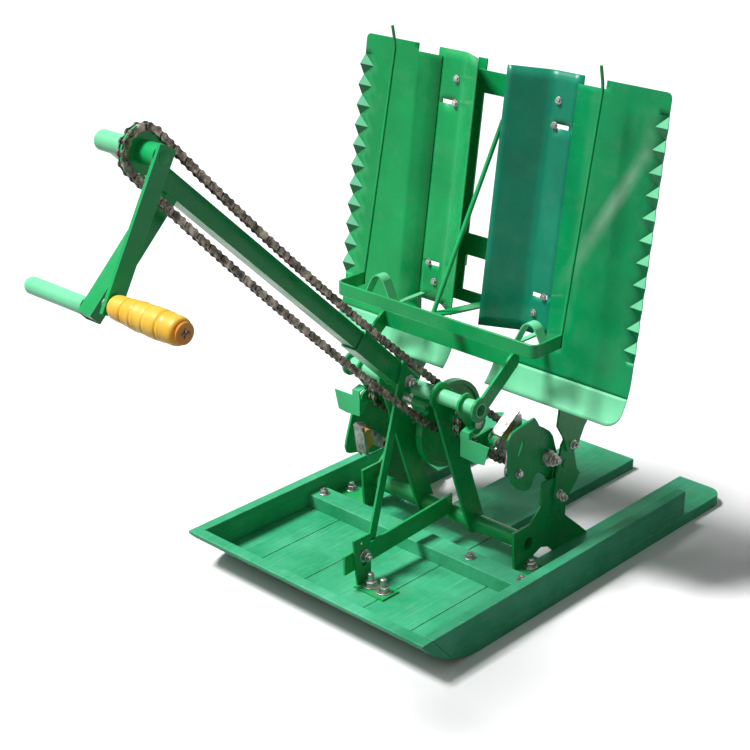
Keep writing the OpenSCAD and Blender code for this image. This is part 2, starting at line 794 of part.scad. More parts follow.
tongue_board();
skid_boards();
floor_boards();
bow_board();
rail_left();
rail_right();
cross_beam();
bracket_left();
bracket_right();
cross_tube();
frame_plate_left();
frame_plate_right();
main_tube();
drive_tubes();
drive_plates();
planting_tubes();
depth_bracket();
depth_strap();
strut();
sleeve();
boom();
head_tube();
hanger();
guide_grip();
hoop();
rear_plate_left();
rear_plate_right();
post_left();
post_right();
guard_left();
guard_right();
slide_rail();
drive_chain();
side_chains();
crank_axle();
crank_sprocket();
crank_arm();
crank_pin();
grip();
drive_shaft();
drive_sprockets();
planting_shaft();
feed_wheel();
crank_left();
crank_right();
arm_left();
arm_right();
claw_left();
claw_right();
pusher_left();
pusher_right();
rocker_left();
rocker_right();
tray_left();
tray_right();
divider_left();
divider_right();
tray_frame();
hold_down();
arches();
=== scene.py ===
"""Looks of a hand-cranked two-row rice transplanter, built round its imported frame.

Sizes are in millimetres until a mesh is written, which turns them into metres.
X runs across the machine, the operator stands on the -Y side and Z is up.
"""

from __future__ import annotations

import json
import logging
import math
from collections.abc import Sequence
from dataclasses import dataclass, field
from enum import Enum
from typing import Protocol

import bmesh
import bpy
import numpy as np
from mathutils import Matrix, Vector

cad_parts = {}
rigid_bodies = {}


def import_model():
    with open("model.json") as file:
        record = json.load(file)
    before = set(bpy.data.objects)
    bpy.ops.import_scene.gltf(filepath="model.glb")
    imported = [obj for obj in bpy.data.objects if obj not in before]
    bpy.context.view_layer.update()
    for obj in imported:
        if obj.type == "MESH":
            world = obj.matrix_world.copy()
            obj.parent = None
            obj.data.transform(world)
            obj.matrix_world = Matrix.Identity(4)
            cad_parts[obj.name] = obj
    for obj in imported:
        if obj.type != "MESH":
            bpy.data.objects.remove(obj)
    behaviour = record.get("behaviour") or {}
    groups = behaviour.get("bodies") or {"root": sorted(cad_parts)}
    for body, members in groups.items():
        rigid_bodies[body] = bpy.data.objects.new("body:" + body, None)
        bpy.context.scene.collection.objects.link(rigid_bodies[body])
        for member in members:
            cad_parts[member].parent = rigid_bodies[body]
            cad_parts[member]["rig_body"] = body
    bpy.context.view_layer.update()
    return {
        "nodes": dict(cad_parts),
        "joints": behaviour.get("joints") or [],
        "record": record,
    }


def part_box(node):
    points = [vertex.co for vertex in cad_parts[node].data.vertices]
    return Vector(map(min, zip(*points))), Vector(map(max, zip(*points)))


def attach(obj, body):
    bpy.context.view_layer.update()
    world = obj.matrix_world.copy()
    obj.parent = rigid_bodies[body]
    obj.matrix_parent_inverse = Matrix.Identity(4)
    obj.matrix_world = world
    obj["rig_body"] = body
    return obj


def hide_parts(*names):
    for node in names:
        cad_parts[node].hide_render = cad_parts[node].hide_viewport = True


LOG = logging.getLogger("transplanter")
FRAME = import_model()
MM = 0.001
JOINT = {j["name"]: np.array(j.get("pos_m", (0, 0, 0))) / MM for j in FRAME["joints"]}
SLOT_OF = {part["node"]: part["material_slot"] for part in FRAME["record"]["subparts"]}

Array = np.ndarray
Socket = bpy.types.NodeSocket
Triple = tuple[float, float, float]
Pair = tuple[float, float]
Face = tuple[int, ...]

# Height of a bolt's head and thickness of its washer, as shares of its size across the flats.
HEAD_TALL = 0.5
WASHER_THICK = 0.13
# Outlines of washer and head: share of the thickness, and radius as a share of half that size.
WASHER = ((0, 0), (0, 1.5), (0.8, 1.52), (1, 1.45), (1, 0))
HEXAGON = ((0, 0), (0, 0.98), (0.85, 1), (1, 0.86), (1, 0))
# Radius of the thread and of its tip, as the same share.
THREAD = (0.6, 0.45)
# When a mesh is merged: points nearer than this are one, and shorter edges go (metres).
SAME_POINT = 2e-6
NO_LENGTH = 1e-7
# Faces that lean less than this are one, and edges sharper than the other are eased.
SAME_PLANE = math.radians(0.5)
EASED_FROM = math.radians(34)
# Slack in millimetres where rows and columns of a sheet are picked by their place.
NEAR = 0.1


class Slot(Enum):
    """Material slots of the record."""

    WOOD = "painted_wood"
    GREEN = "green_paint"
    PALE = "pale_paint"
    STEEL = "bare_steel"
    CHAIN = "chain_steel"
    YELLOW = "yellow_plastic"
    ORANGE = "orange_plastic"


class Body(Enum):
    """Moving bodies that the pieces ride on."""

    FRAME = "frame"
    CRANK = "crank"
    GRIP = "hand_grip"
    DRIVE = "drive_shaft"
    PLANTING = "planting_shaft"
    PLANTER_L = "planter_left"
    PLANTER_R = "planter_right"
    ROCKER_L = "rocker_left"
    ROCKER_R = "rocker_right"
    TRAY = "tray"


# ---- finishes ----
@dataclass(frozen=True)
class Cloud:
    """Value noise and the two of its values that a mask made from it runs between.

    The scale is in swells for each metre. A cloud with a stretch has its own
    such number for each axis, so that it is drawn out along the smallest.
    """

    scale: float = 1.0
    detail: float = 3.0
    rough: float = 0.5
    low: float = 0.0
    high: float = 1.0
    stretch: Triple | None = None
    twist: float = 0.0


class Graph:
    """A small writer of shader nodes for one material."""

    def __init__(self, name: str) -> None:
        """Start an empty principled material with its object coordinates.

        Args:
            name: plain name of the material.
        """
        self.material = bpy.data.materials.new(name)
        self.material.use_nodes = True
        self.tree = self.material.node_tree
        self.shader = self.tree.nodes["Principled BSDF"]
        self.place = self.tree.nodes.new("ShaderNodeTexCoord").outputs["Object"]

    def node(self, kind: str, links: dict[str | int, object], **props: object) -> bpy.types.Node:
        """Add a node, set its properties and link or fill its inputs.

        Args:
            kind: type name of the node.
            links: socket or plain value for each input, by name or place.
            props: properties of the node.

        Returns:
            The new node.
        """
        made = self.tree.nodes.new(kind)
        for key, value in props.items():
            setattr(made, key, value)
        for key, value in links.items():
            if isinstance(value, Socket):
                self.tree.links.new(value, made.inputs[key])
            else:
                made.inputs[key].default_value = value
        return made

    def noise(self, cloud: Cloud) -> Socket:
        """Value noise over the object coordinates, stretched if the cloud is.

        Args:
            cloud: scale, detail, roughness, stretch and twist of the noise.

        Returns:
            Value from about 0 to 1.
        """
        place = self.place
        if cloud.stretch:
            place = self.node("ShaderNodeMapping", {"Vector": place, "Scale": cloud.stretch}).outputs[0]
        links = {"Vector": place, "Scale": cloud.scale, "Detail": cloud.detail,
                 "Roughness": cloud.rough, "Distortion": cloud.twist}
        return self.node("ShaderNodeTexNoise", links).outputs["Fac"]

    def band(self, fac: Socket, low: float, high: float, to: Pair = (0.0, 1.0)) -> Socket:
        """Map a value between two limits onto two others, held at the ends."""
        return self.node("ShaderNodeMapRange", {0: fac, 1: low, 2: high, 3: to[0], 4: to[1]}).outputs[0]

    def patches(self, cloud: Cloud, to: Pair = (0.0, 1.0)) -> Socket:
        """Mask from a cloud's noise, which runs between the cloud's two limits."""
        return self.band(self.noise(cloud), cloud.low, cloud.high, to)

    def sum(self, kind: str, one: object, two: object) -> Socket:
        """One arithmetic step on two values, held between 0 and 1."""
        return self.node("ShaderNodeMath", {0: one, 1: two}, operation=kind, use_clamp=True).outputs[0]

    def blend(self, fac: object, one: object, two: object) -> Socket:
        """Mix two colours.

        Args:
            fac: share of the second colour, as a socket or a number.
            one: first colour, as a socket or three numbers.
            two: second colour, likewise.

        Returns:
            The mixed colour.
        """
        sides = [(*v, 1.0) if isinstance(v, tuple) else v for v in (one, two)]
        made = self.node("ShaderNodeMix", {0: fac, 6: sides[0], 7: sides[1]}, data_type="RGBA")
        return made.outputs[2]

    def edges(self, radius: float, flat: float = 0.995, sharp: float = 0.86) -> Socket:
        """Mask of the edges, from how far a rounded normal leans off the true one.

        Args:
            radius: reach of the rounding in metres.
            flat: cosine of the lean at which the mask starts.
            sharp: cosine of the lean at which it is full.

        Returns:
            Mask from 0 to 1.
        """
        soft = self.node("ShaderNodeBevel", {"Radius": radius}, samples=4).outputs[0]
        true = self.node("ShaderNodeNewGeometry", {}).outputs["Normal"]
        dot = self.node("ShaderNodeVectorMath", {0: soft, 1: true}, operation="DOT_PRODUCT")
        return self.band(dot.outputs["Value"], flat, sharp)

    def height(self) -> Socket:
        """Height above the ground in metres."""
        return self.node("ShaderNodeSeparateXYZ", {0: self.place}).outputs[2]

    def bump(self, height: Socket, relief: Pair, under: Socket | None = None) -> Socket:
        """Bump from a height, over an earlier bump if there is one.

        Args:
            height: value that rises out of the surface.
            relief: strength of the bump and its depth in metres.
            under: normal of the earlier bump.

        Returns:
            The bumped normal.
        """
        links = {"Height": height, "Strength": relief[0], "Distance": relief[1]}
        if under is not None:
            links["Normal"] = under
        return self.node("ShaderNodeBump", links).outputs[0]

    def finish(self, links: dict[str, object]) -> bpy.types.Material:
        """Fill the shader's inputs.

        Args:
            links: socket or plain value for each input, by name.

        Returns:
            The finished material.
        """
        for key, value in links.items():
            if isinstance(value, Socket):
                self.tree.links.new(value, self.shader.inputs[key])
            else:
                self.shader.inputs[key].default_value = value
        return self.material


@dataclass(frozen=True)
class ReflectionStreak:
    """Painted reflection: a pale streak down the right sheet that stands in for a band of reflected light,
    with its sizes in metres.

    Its middle runs along x = min(most, slope z - back). It is strongest on
    that line, fades to both sides and to both ends, and lies only on faces
    that look towards -Y.
    """

    slope: float = 0.53
    back: float = 0.091
    most: float = 0.247
    side: Pair = (0.017, 0.001)
    foot: Pair = (0.41, 0.56)
    top: Pair = (0.70, 0.60)
    facing: Pair = (0.0, -0.5)
    thin: Pair = (0.55, 1.0)
    cloud: Cloud = Cloud(24.0, low=0.3, high=0.6)

    def mask(self, g: Graph) -> Socket:
        """Work out the mask of the painted reflection streak.

        Args:
            g: writer of the material that wears the wipe.

        Returns:
            Mask from 0 to 1, the product of the fades, a cloud and the facing.
        """
        split = g.node("ShaderNodeSeparateXYZ", {0: g.place}).outputs
        rise = g.sum("MULTIPLY", split[2], self.slope)
        line = g.sum("MINIMUM", g.sum("SUBTRACT", rise, self.back), self.most)
        off = g.sum("MAXIMUM", g.sum("SUBTRACT", split[0], line), g.sum("SUBTRACT", line, split[0]))
        mask = g.sum("MULTIPLY", g.band(off, *self.side), g.band(split[2], *self.foot))
        mask = g.sum("MULTIPLY", mask, g.band(split[2], *self.top))
        normal = g.node("ShaderNodeNewGeometry", {}).outputs["Normal"]
        front = g.band(g.node("ShaderNodeSeparateXYZ", {0: normal}).outputs[1], *self.facing)
        return g.sum("MULTIPLY", g.sum("MULTIPLY", mask, g.patches(self.cloud, self.thin)), front)


@dataclass(frozen=True)
class Enamel:
    """Gloss enamel on steel: uneven coat, dust, pale edges that are partly rubbed paint and partly a
    painted highlight, and chips down to rust.

    A relief is its strength and its depth in metres.
    """

    name: str
    color: Triple
    # pale edge colour: partly rubbed paint, partly a painted highlight
    rubbed_and_highlit: Triple = (0.14, 0.56, 0.28)
    rough: float = 0.24
    wear_and_highlight: float = 0.4
    chips: float = 1.0
    dust: float = 0.22
    mirror: float = 0.22
    # painted reflection: share, shape and pale colour of a streak that stands in for reflected light
    reflection_share: float = 0.0
    reflection_streak: ReflectionStreak = ReflectionStreak()
    reflection_color: Triple = (0.32, 0.52, 0.38)
    shade: float = 0.72
    uneven: Cloud = Cloud(7.0, 4.0, 0.6, 0.35, 0.65)
    film: Triple = (0.30, 0.44, 0.33)
    film_share: float = 0.35
    film_at: Cloud = Cloud(38.0, 6.0, 0.65, 0.52, 0.75)
    speck: Triple = (0.42, 0.62, 0.48)
    speck_at: Cloud = Cloud(900.0, 2.0, 0.5, 0.70, 0.76)
    edge: float = 0.0016
    rub_and_highlight_at: Cloud = Cloud(170.0, 5.0, 0.7, 0.40, 0.62)
    chip_at: Cloud = Cloud(260.0, 4.0, 0.75, 0.60, 0.64)
    pock_at: Cloud = Cloud(60.0, 8.0, 0.85, 0.745, 0.765)
    rust: tuple[Triple, Triple] = ((0.05, 0.03, 0.02), (0.22, 0.11, 0.05))
    rust_at: Cloud = Cloud(500.0, low=0.35, high=0.7)
    mud: Triple = (0.20, 0.17, 0.11)
    mud_share: float = 0.4
    mud_from: Pair = (0.16, 0.02)
    mud_at: Cloud = Cloud(46.0, 7.0, 0.7, 0.46, 0.68)
    sheen_at: Cloud = Cloud(22.0, 5.0, 0.6, 0.3, 0.75)
    sheen: Pair = (-0.07, 0.16)
    dull: float = 0.75
    waves: Cloud = Cloud(16.0, 2.0, 0.4)
    wave_relief: Pair = (0.06, 0.002)
    peel: Cloud = Cloud(650.0, 2.0, 0.5)
    peel_relief: Pair = (0.06, 0.0003)
    chip_relief: Pair = (0.5, 0.0003)

    def material(self) -> bpy.types.Material:
        """Build the enamel.

        Returns:
            The material: noise shades the coat, an edge mask paints it pale, partly as rubbed paint and
                partly as a painted highlight, and thresholded fine noise along the edges chips it.
        """
        g = Graph(self.name)
        deep = tuple(c * self.shade for c in self.color)
        coat = g.blend(g.patches(self.uneven), deep, self.color)
        film = g.sum("MULTIPLY", g.patches(self.film_at), self.film_share * self.dust)
        coat = g.blend(film, coat, self.film)
        coat = g.blend(g.sum("MULTIPLY", g.patches(self.speck_at), self.dust), coat, self.speck)
        edge = g.edges(self.edge)
        # pale edges: partly rubbed paint, partly a painted highlight along every edge
        rub_and_highlight = g.sum("MULTIPLY", edge, g.patches(self.rub_and_highlight_at))
        coat = g.blend(g.sum("MULTIPLY", rub_and_highlight, self.wear_and_highlight), coat, self.rubbed_and_highlit)
        chip = g.sum("MULTIPLY", g.patches(self.chip_at), edge)
        chip = g.sum("MULTIPLY", g.sum("MAXIMUM", chip, g.patches(self.pock_at)), self.chips)
        coat = g.blend(chip, coat, g.blend(g.patches(self.rust_at), *self.rust))
        mud = g.sum("MULTIPLY", g.band(g.height(), *self.mud_from), g.patches(self.mud_at))
        coat = g.blend(g.sum("MULTIPLY", mud, self.mud_share), coat, self.mud)
        # pale streak painted down the sheet as a painted reflection of light
        if self.reflection_share:
            coat = g.blend(g.sum("MULTIPLY", self.reflection_streak.mask(g), self.reflection_share), coat, self.reflection_color)
        rough = g.patches(self.sheen_at, (self.rough + self.sheen[0], self.rough + self.sheen[1]))
        rough = g.sum("MAXIMUM", rough, g.sum("MULTIPLY", g.sum("MAXIMUM", chip, mud), self.dull))
        low = g.bump(g.noise(self.waves), self.wave_relief)
        fine = g.bump(g.noise(self.peel), self.peel_relief, low)
        cut = g.bump(g.sum("SUBTRACT", 1.0, chip), self.chip_relief, fine)
        return g.finish({"Base Color": coat, "Roughness": rough, "Normal": cut,
                         "Specular IOR Level": self.mirror})


@dataclass(frozen=True)
class PaintedBoards:
    """Brushed paint over planed wood: grain lines, scuffs, bare patches and mud.

    A relief is its strength and its depth in metres.
    """

    name: str = "painted boards"
    color: Triple = (0.014, 0.29, 0.12)
    light: Triple = (0.08, 0.48, 0.26)
    bare: Triple = (0.36, 0.27, 0.17)
    mirror: float = 0.15
    faded: Cloud = Cloud(9.0, 5.0, 0.65, 0.32, 0.70)
    grain: Cloud = Cloud(1.0, 6.0, 0.65, 0.45, 0.75, (140.0, 7.0, 140.0), 0.6)
    grain_color: Triple = (0.03, 0.27, 0.13)
    strokes: Cloud = Cloud(1.0, 3.0, 0.6, 0.55, 0.8, (420.0, 12.0, 420.0))
    stroke_color: Triple = (0.26, 0.68, 0.46)
    line_share: Pair = (0.0, 0.35)
    edge: float = 0.003
    scuff_at: Cloud = Cloud(90.0, 6.0, 0.7, 0.42, 0.6)
    scuff: Triple = (0.34, 0.66, 0.48)
    scuff_share: float = 0.6
    worn_at: Cloud = Cloud(1.0, 7.0, 0.8, 0.70, 0.74, (60.0, 14.0, 60.0))
    worn_share: float = 0.8
    soil_at: Cloud = Cloud(30.0, 8.0, 0.75, 0.56, 0.74)
    soil: Triple = (0.16, 0.15, 0.09)
    soil_share: float = 0.30
    sheen_at: Cloud = Cloud(14.0, 5.0, 0.6, 0.3, 0.7)
    sheen: Pair = (0.42, 0.68)
    grain_relief: Pair = (0.45, 0.0010)
    stroke_relief: Pair = (0.25, 0.0004)
    worn_relief: Pair = (0.4, 0.0004)

    def material(self) -> bpy.types.Material:
        """Build the painted wood.

        Returns:
            The material: noise drawn out along Y gives the grain, and cloudy
            noise fades the paint.
        """
        g = Graph(self.name)
        grain, strokes = g.noise(self.grain), g.noise(self.strokes)
        coat = g.blend(g.patches(self.faded), self.color, self.light)
        lines = g.band(grain, self.grain.low, self.grain.high, self.line_share)
        coat = g.blend(lines, coat, self.grain_color)
        lines = g.band(strokes, self.strokes.low, self.strokes.high, self.line_share)
        coat = g.blend(lines, coat, self.stroke_color)
        scuff = g.sum("MULTIPLY", g.edges(self.edge), g.patches(self.scuff_at))
        coat = g.blend(g.sum("MULTIPLY", scuff, self.scuff_share), coat, self.scuff)
        worn = g.patches(self.worn_at)
        coat = g.blend(g.sum("MULTIPLY", worn, self.worn_share), coat, self.bare)
        coat = g.blend(g.sum("MULTIPLY", g.patches(self.soil_at), self.soil_share), coat, self.soil)
        low = g.bump(grain, self.grain_relief)
        fine = g.bump(strokes, self.stroke_relief, low)
        cut = g.bump(g.sum("SUBTRACT", 1.0, worn), self.worn_relief, fine)
        return g.finish({"Base Color": coat, "Roughness": g.patches(self.sheen_at, self.sheen),
                         "Normal": cut, "Specular IOR Level": self.mirror})


@dataclass(frozen=True)
class Steel:
    """Bare or oiled steel with turning marks, smears of old grease and rust blooms.

    A relief is its strength and its depth in metres.
    """

    name: str
    color: Triple = (0.52, 0.51, 0.49)
    grime: Triple = (0.05, 0.035, 0.022)
    rough: float = 0.3
    metal: float = 1.0
    dirt: float = 0.5
    shade: float = 0.75
    tone_at: Cloud = Cloud(400.0, low=0.3, high=0.7)
    smear_at: Cloud = Cloud(70.0, 7.0, 0.7, 0.62, 0.82)
    smear_more: float = 0.3
    rust_at: Cloud = Cloud(150.0, 6.0, 0.75, 0.60, 0.72)
    rust: Triple = (0.24, 0.11, 0.05)
    rust_share: float = 0.6
    dull_metal: float = 0.35
    sheen_at: Cloud = Cloud(90.0, 5.0, 0.6, 0.3, 0.7)
    sheen: float = 0.25
    turning: Cloud = Cloud(1.0, 3.0, 0.6, stretch=(900.0, 90.0, 90.0))
    turning_relief: Pair = (0.15, 0.0002)
    smear_relief: Pair = (0.35, 0.0003)

    def material(self) -> bpy.types.Material:
        """Build the steel.

        Returns:
            The material: cloudy noise lays grime over metal and roughens it.
        """
        g = Graph(self.name)
        more = self.smear_more * self.dirt
        smear = g.band(g.noise(self.smear_at), self.smear_at.low - more, self.smear_at.high - more)
        rust = g.patches(self.rust_at)
        tone = g.blend(g.patches(self.tone_at), tuple(c * self.shade for c in self.color), self.color)
        tone = g.blend(g.sum("MULTIPLY", rust, self.rust_share * self.dirt), tone, self.rust)
        tone = g.blend(smear, tone, self.grime)
        shine = g.band(g.sum("MAXIMUM", smear, rust), 0.0, 1.0, (self.metal, self.metal * self.dull_metal))
        rough = g.patches(self.sheen_at, (self.rough, self.rough + self.sheen))
        marks = g.bump(g.noise(self.turning), self.turning_relief)
        lumps = g.bump(smear, self.smear_relief, marks)
        return g.finish({"Base Color": tone, "Metallic": shine, "Roughness": rough, "Normal": lumps})


@dataclass(frozen=True)
class Plastic:
    """Moulded plastic, with cloudy paler and grimy patches."""

    name: str
    color: Triple
    pale: Triple
    rough: float = 0.34
    pale_at: Cloud = Cloud(26.0, 5.0, 0.6, 0.38, 0.66)
    scratch_at: Cloud = Cloud(1.0, 4.0, 0.7, 0.62, 0.70, (60.0, 700.0, 700.0))
    scratch_share: float = 0.35
    scratch_shade: float = 0.55
    soil_at: Cloud = Cloud(120.0, 6.0, 0.75, 0.60, 0.74)
    soil: Triple = (0.16, 0.10, 0.04)
    soil_share: float = 0.45
    sheen_at: Cloud = Cloud(60.0, 4.0, low=0.3, high=0.7)
    sheen: float = 0.2
    skin: Cloud = Cloud(480.0, 3.0, 0.6)
    skin_relief: Pair = (0.12, 0.0003)
    glow: float = 0.06
    glow_reach: Triple = (0.004, 0.002, 0.001)

    def material(self) -> bpy.types.Material:
        """Build the plastic.

        Returns:
            The material: noise bleaches the colour, scratches it and dirties it.
        """
        g = Graph(self.name)
        tone = g.blend(g.patches(self.pale_at), self.color, self.pale)
        scratch = g.sum("MULTIPLY", g.patches(self.scratch_at), self.scratch_share)
        tone = g.blend(scratch, tone, tuple(c * self.scratch_shade for c in self.color))
        tone = g.blend(g.sum("MULTIPLY", g.patches(self.soil_at), self.soil_share), tone, self.soil)
        rough = g.patches(self.sheen_at, (self.rough, self.rough + self.sheen))
        fine = g.bump(g.noise(self.skin), self.skin_relief)
        return g.finish({"Base Color": tone, "Roughness": rough, "Normal": fine,
                         "Subsurface Weight": self.glow, "Subsurface Radius": self.glow_reach})


FINISH = {
    Slot.WOOD: PaintedBoards(),
    Slot.GREEN: Enamel("green enamel", (0.006, 0.42, 0.115)),
    Slot.PALE: Enamel("light green enamel", (0.05, 0.58, 0.22), rough=0.3),
    Slot.STEEL: Steel("bright steel"),
    Slot.CHAIN: Steel("oiled chain steel", (0.34, 0.29, 0.24), (0.022, 0.014, 0.008), 0.3, 0.9, 0.75),
    Slot.YELLOW: Plastic("yellow grip plastic", (0.84, 0.46, 0.025), (0.84, 0.58, 0.07)),
    Slot.ORANGE: Plastic("orange plastic", (0.72, 0.27, 0.03), (0.80, 0.40, 0.08), 0.45),
}
# darker, bluish copy of the green: painted shade and a painted reflection of blue sky on the right divider
SKY_REFLECTION_PAINTED = Enamel("right divider painted sky reflection enamel", (0.002, 0.27, 0.15))
# darker copy of the green: painted shade on the downward dent facets
PAINTED_SHADE = Enamel("painted shade green enamel", (0.002, 0.20, 0.065))
# pale enamel: a painted highlight on the upper dent facets, a painted sky reflection on the upturned lip,
# and on the tubes partly a paler paint, partly a painted highlight
PALE_AND_PAINTED_HIGHLIGHT = Enamel("pale green enamel with painted highlight", (0.20, 0.74, 0.40), rough=0.3)
# one paint on both sheets: the right sheet's darker green is painted shade
GLOSS = {-1: Enamel("left sheet enamel", (0.006, 0.43, 0.115)),
         1: Enamel("right sheet painted shade enamel", (0.002, 0.31, 0.10), reflection_share=0.6)}
MADE: dict[Slot, bpy.types.Material] = {}


def finish_of(slot: Slot) -> bpy.types.Material:
    """Give the material of a slot, built the first time it is asked for.

    Args:
        slot: slot of the record.

    Returns:
        Its material.
    """
    if slot not in MADE:
        MADE[slot] = FINISH[slot].material()
    return MADE[slot]


# ---- surfaces ----
class Shell:
    """Surfaces in millimetres gathered into one mesh."""

    def __init__(self) -> None:
        """Start with no points and no faces."""
        self.points: list[Array] = []
        self.faces: list[Face] = []
        self.count = 0

    def add(self, points: Array, faces: list[Face]) -> Shell:
        """Add points and the faces between them.

        Args:
            points: n by 3 array.
            faces: tuples of places in that array.

        Returns:
            This shell.
        """
        self.points.append(np.asarray(points, float))
        self.faces += [tuple(int(i) + self.count for i in f) for f in faces]
        self.count += len(points)
        return self

    def grid(self, net: Array, wrap: bool = False, keep: Array | None = None) -> Shell:
        """Add quads over an n by m net of points.

        Args:
            net: n by m by 3 points.
            wrap: whether the second direction closes on itself.
            keep: mask of the quads that stay.

        Returns:
            This shell.
        """
        n, m = net.shape[:2]
        place = np.arange(n * m).reshape(n, m)
        left = place if wrap else place[:, :-1]
        right = np.roll(place, -1, 1) if wrap else place[:, 1:]
        quads = np.stack([left[:-1], right[:-1], right[1:], left[1:]], -1)
        quads = quads.reshape(-1, 4) if keep is None else quads[keep]
        return self.add(net.reshape(-1, 3), quads.tolist())

    def lathe(self, profile: Array, centre: Array, sides: int = 32, axis: int = 0,
              corner: float = 0.0) -> Shell:
        """Turn a profile of (along, radius) about an axis through a centre.

        The radius at angle a is r, or r / cos(a folded into one flat) for a
        six-sided piece when corner is 1.

        Args:
            profile: n by 2 array of distance along the axis and radius.
            centre: point that distances start from.
            sides: points round the axis.
            axis: 0, 1 or 2 for X, Y or Z.
            corner: 1 for a hexagon, 0 for a round piece.

        Returns:
            This shell.
        """
        profile = np.asarray(profile, float)
        a = np.arange(sides) * 2 * np.pi / sides
        flat = (a + np.pi / 6) % (np.pi / 3) - np.pi / 6
        grow = 1 + corner * (1 / np.cos(flat) - 1)
        net = np.empty((len(profile), sides, 3))
        one, two = [i for i in (0, 1, 2) if i != axis]
        net[..., axis] = profile[:, :1]
        net[..., one] = profile[:, 1:] * grow * np.cos(a)
        net[..., two] = profile[:, 1:] * grow * np.sin(a)
        return self.grid(net + np.asarray(centre, float), wrap=True)

    def sweep(self, path: Array, section: Array, up: tuple[float, float, float] = (0, 0, 1),
              closed: bool = False) -> Shell:
        """Carry a closed section along a path.

        The section's first number goes sideways, along tangent x up, and the
        second along the up that is square to the path.

        Args:
            path: n by 3 points.
            section: m by 2 outline.
            up: direction the section's second number leans to.
            closed: whether the path joins its own start.

        Returns:
            This shell.
        """
        path = np.asarray(path, float)
        step = (np.roll(path, -1, 0) - np.roll(path, 1, 0)) if closed else np.gradient(path, axis=0)
        t = step / np.linalg.norm(step, axis=1, keepdims=True)
        side = np.cross(t, up)
        side /= np.linalg.norm(side, axis=1, keepdims=True)
        top = np.cross(side, t)
        section = np.asarray(section, float)
        net = path[:, None] + section[None, :, :1] * side[:, None] + section[None, :, 1:] * top[:, None]
        start = self.count
        if closed:
            net = np.concatenate([net, net[:1]])
        self.grid(net, wrap=True)
        if not closed:
            m = len(section)
            last = start + (len(path) - 1) * m
            self.faces += [tuple(range(start, start + m)), tuple(range(last + m - 1, last - 1, -1))]
        return self

    def prism(self, outline: Array, x0: float, x1: float) -> Shell:
        """Extrude a YZ outline between two X stations.

        Args:
            outline: n by 2 points (y, z).
            x0: first station.
            x1: second station.

        Returns:
            This shell.
        """
        outline = np.asarray(outline, float)
        net = np.empty((2, len(outline), 3))
        net[..., 1:] = outline
        net[..., 0] = [[x0], [x1]]
        start, m = self.count, len(outline)
        self.grid(net, wrap=True)
        self.faces += [tuple(range(start, start + m)), tuple(range(start + 2 * m - 1, start + m - 1, -1))]
        return self

    def mirrored(self) -> Shell:
        """Mirror the shell, as (-x, y, z), with its faces turned back to point out.

        Returns:
            The shell on the other side of the middle plane.
        """
        other = Shell()
        for part in self.points:
            other.points.append(part * (-1, 1, 1))
        other.faces, other.count = [f[::-1] for f in self.faces], self.count
        return other

    def bolt(self, centre: Array, axis: int = 0, way: int = 1, across: float = 13.0,
             thread: float = 0.0) -> Shell:
        """Add a washer, a chamfered hexagon and a domed thread end.

        Args:
            centre: point on the face that it is tightened against.
            axis: 0, 1 or 2 for X, Y or Z.
            way: 1 or -1, the side that the head stands on.
            across: size of the hexagon across its flats.
            thread: length of the thread past the hexagon.

        Returns:
            This shell.
        """
        r, tall, wash = across / 2, across * HEAD_TALL, across * WASHER_THICK
        for profile, start, size, corner in ((WASHER, 0.0, wash, 0.0), (HEXAGON, wash, tall, 1.0)):
            rows = [(way * (start + along * size), r * wide) for along, wide in profile]
            self.lathe(rows, centre, 24, axis, corner)
        if thread:
            top, end = wash + tall, wash + tall + thread
            body, tip = r * THREAD[0], r * THREAD[1]
            self.lathe([(way * top, 0), (way * top, body), (way * (end - 1), body),
                        (way * end, tip), (way * end, 0)], centre, 16, axis)
        return self

    def piece(self, name: str, body: Body, slot: Slot, replaces: tuple[str, ...] = (),
              wall: float = 0.0, smooth: float = 38.0,
              material: bpy.types.Material | None = None) -> bpy.types.Object:
        """Args:
            name: plain name of the piece.
            body: body it rides on.
            slot: slot its finish belongs to.
            replaces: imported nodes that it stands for.
            wall: thickness given to an open surface in millimetres.
            smooth: angle in degrees above which an edge stays sharp, or 0 for flat facets.
            material: finish other than the slot's own.

        Returns:
            The new object.
        """
        mesh = bpy.data.meshes.new(name)
        mesh.from_pydata((np.concatenate(self.points) * MM).tolist(), [], self.faces)
        return settle(mesh, name, body, slot, replaces, 0.0, wall, smooth, material)


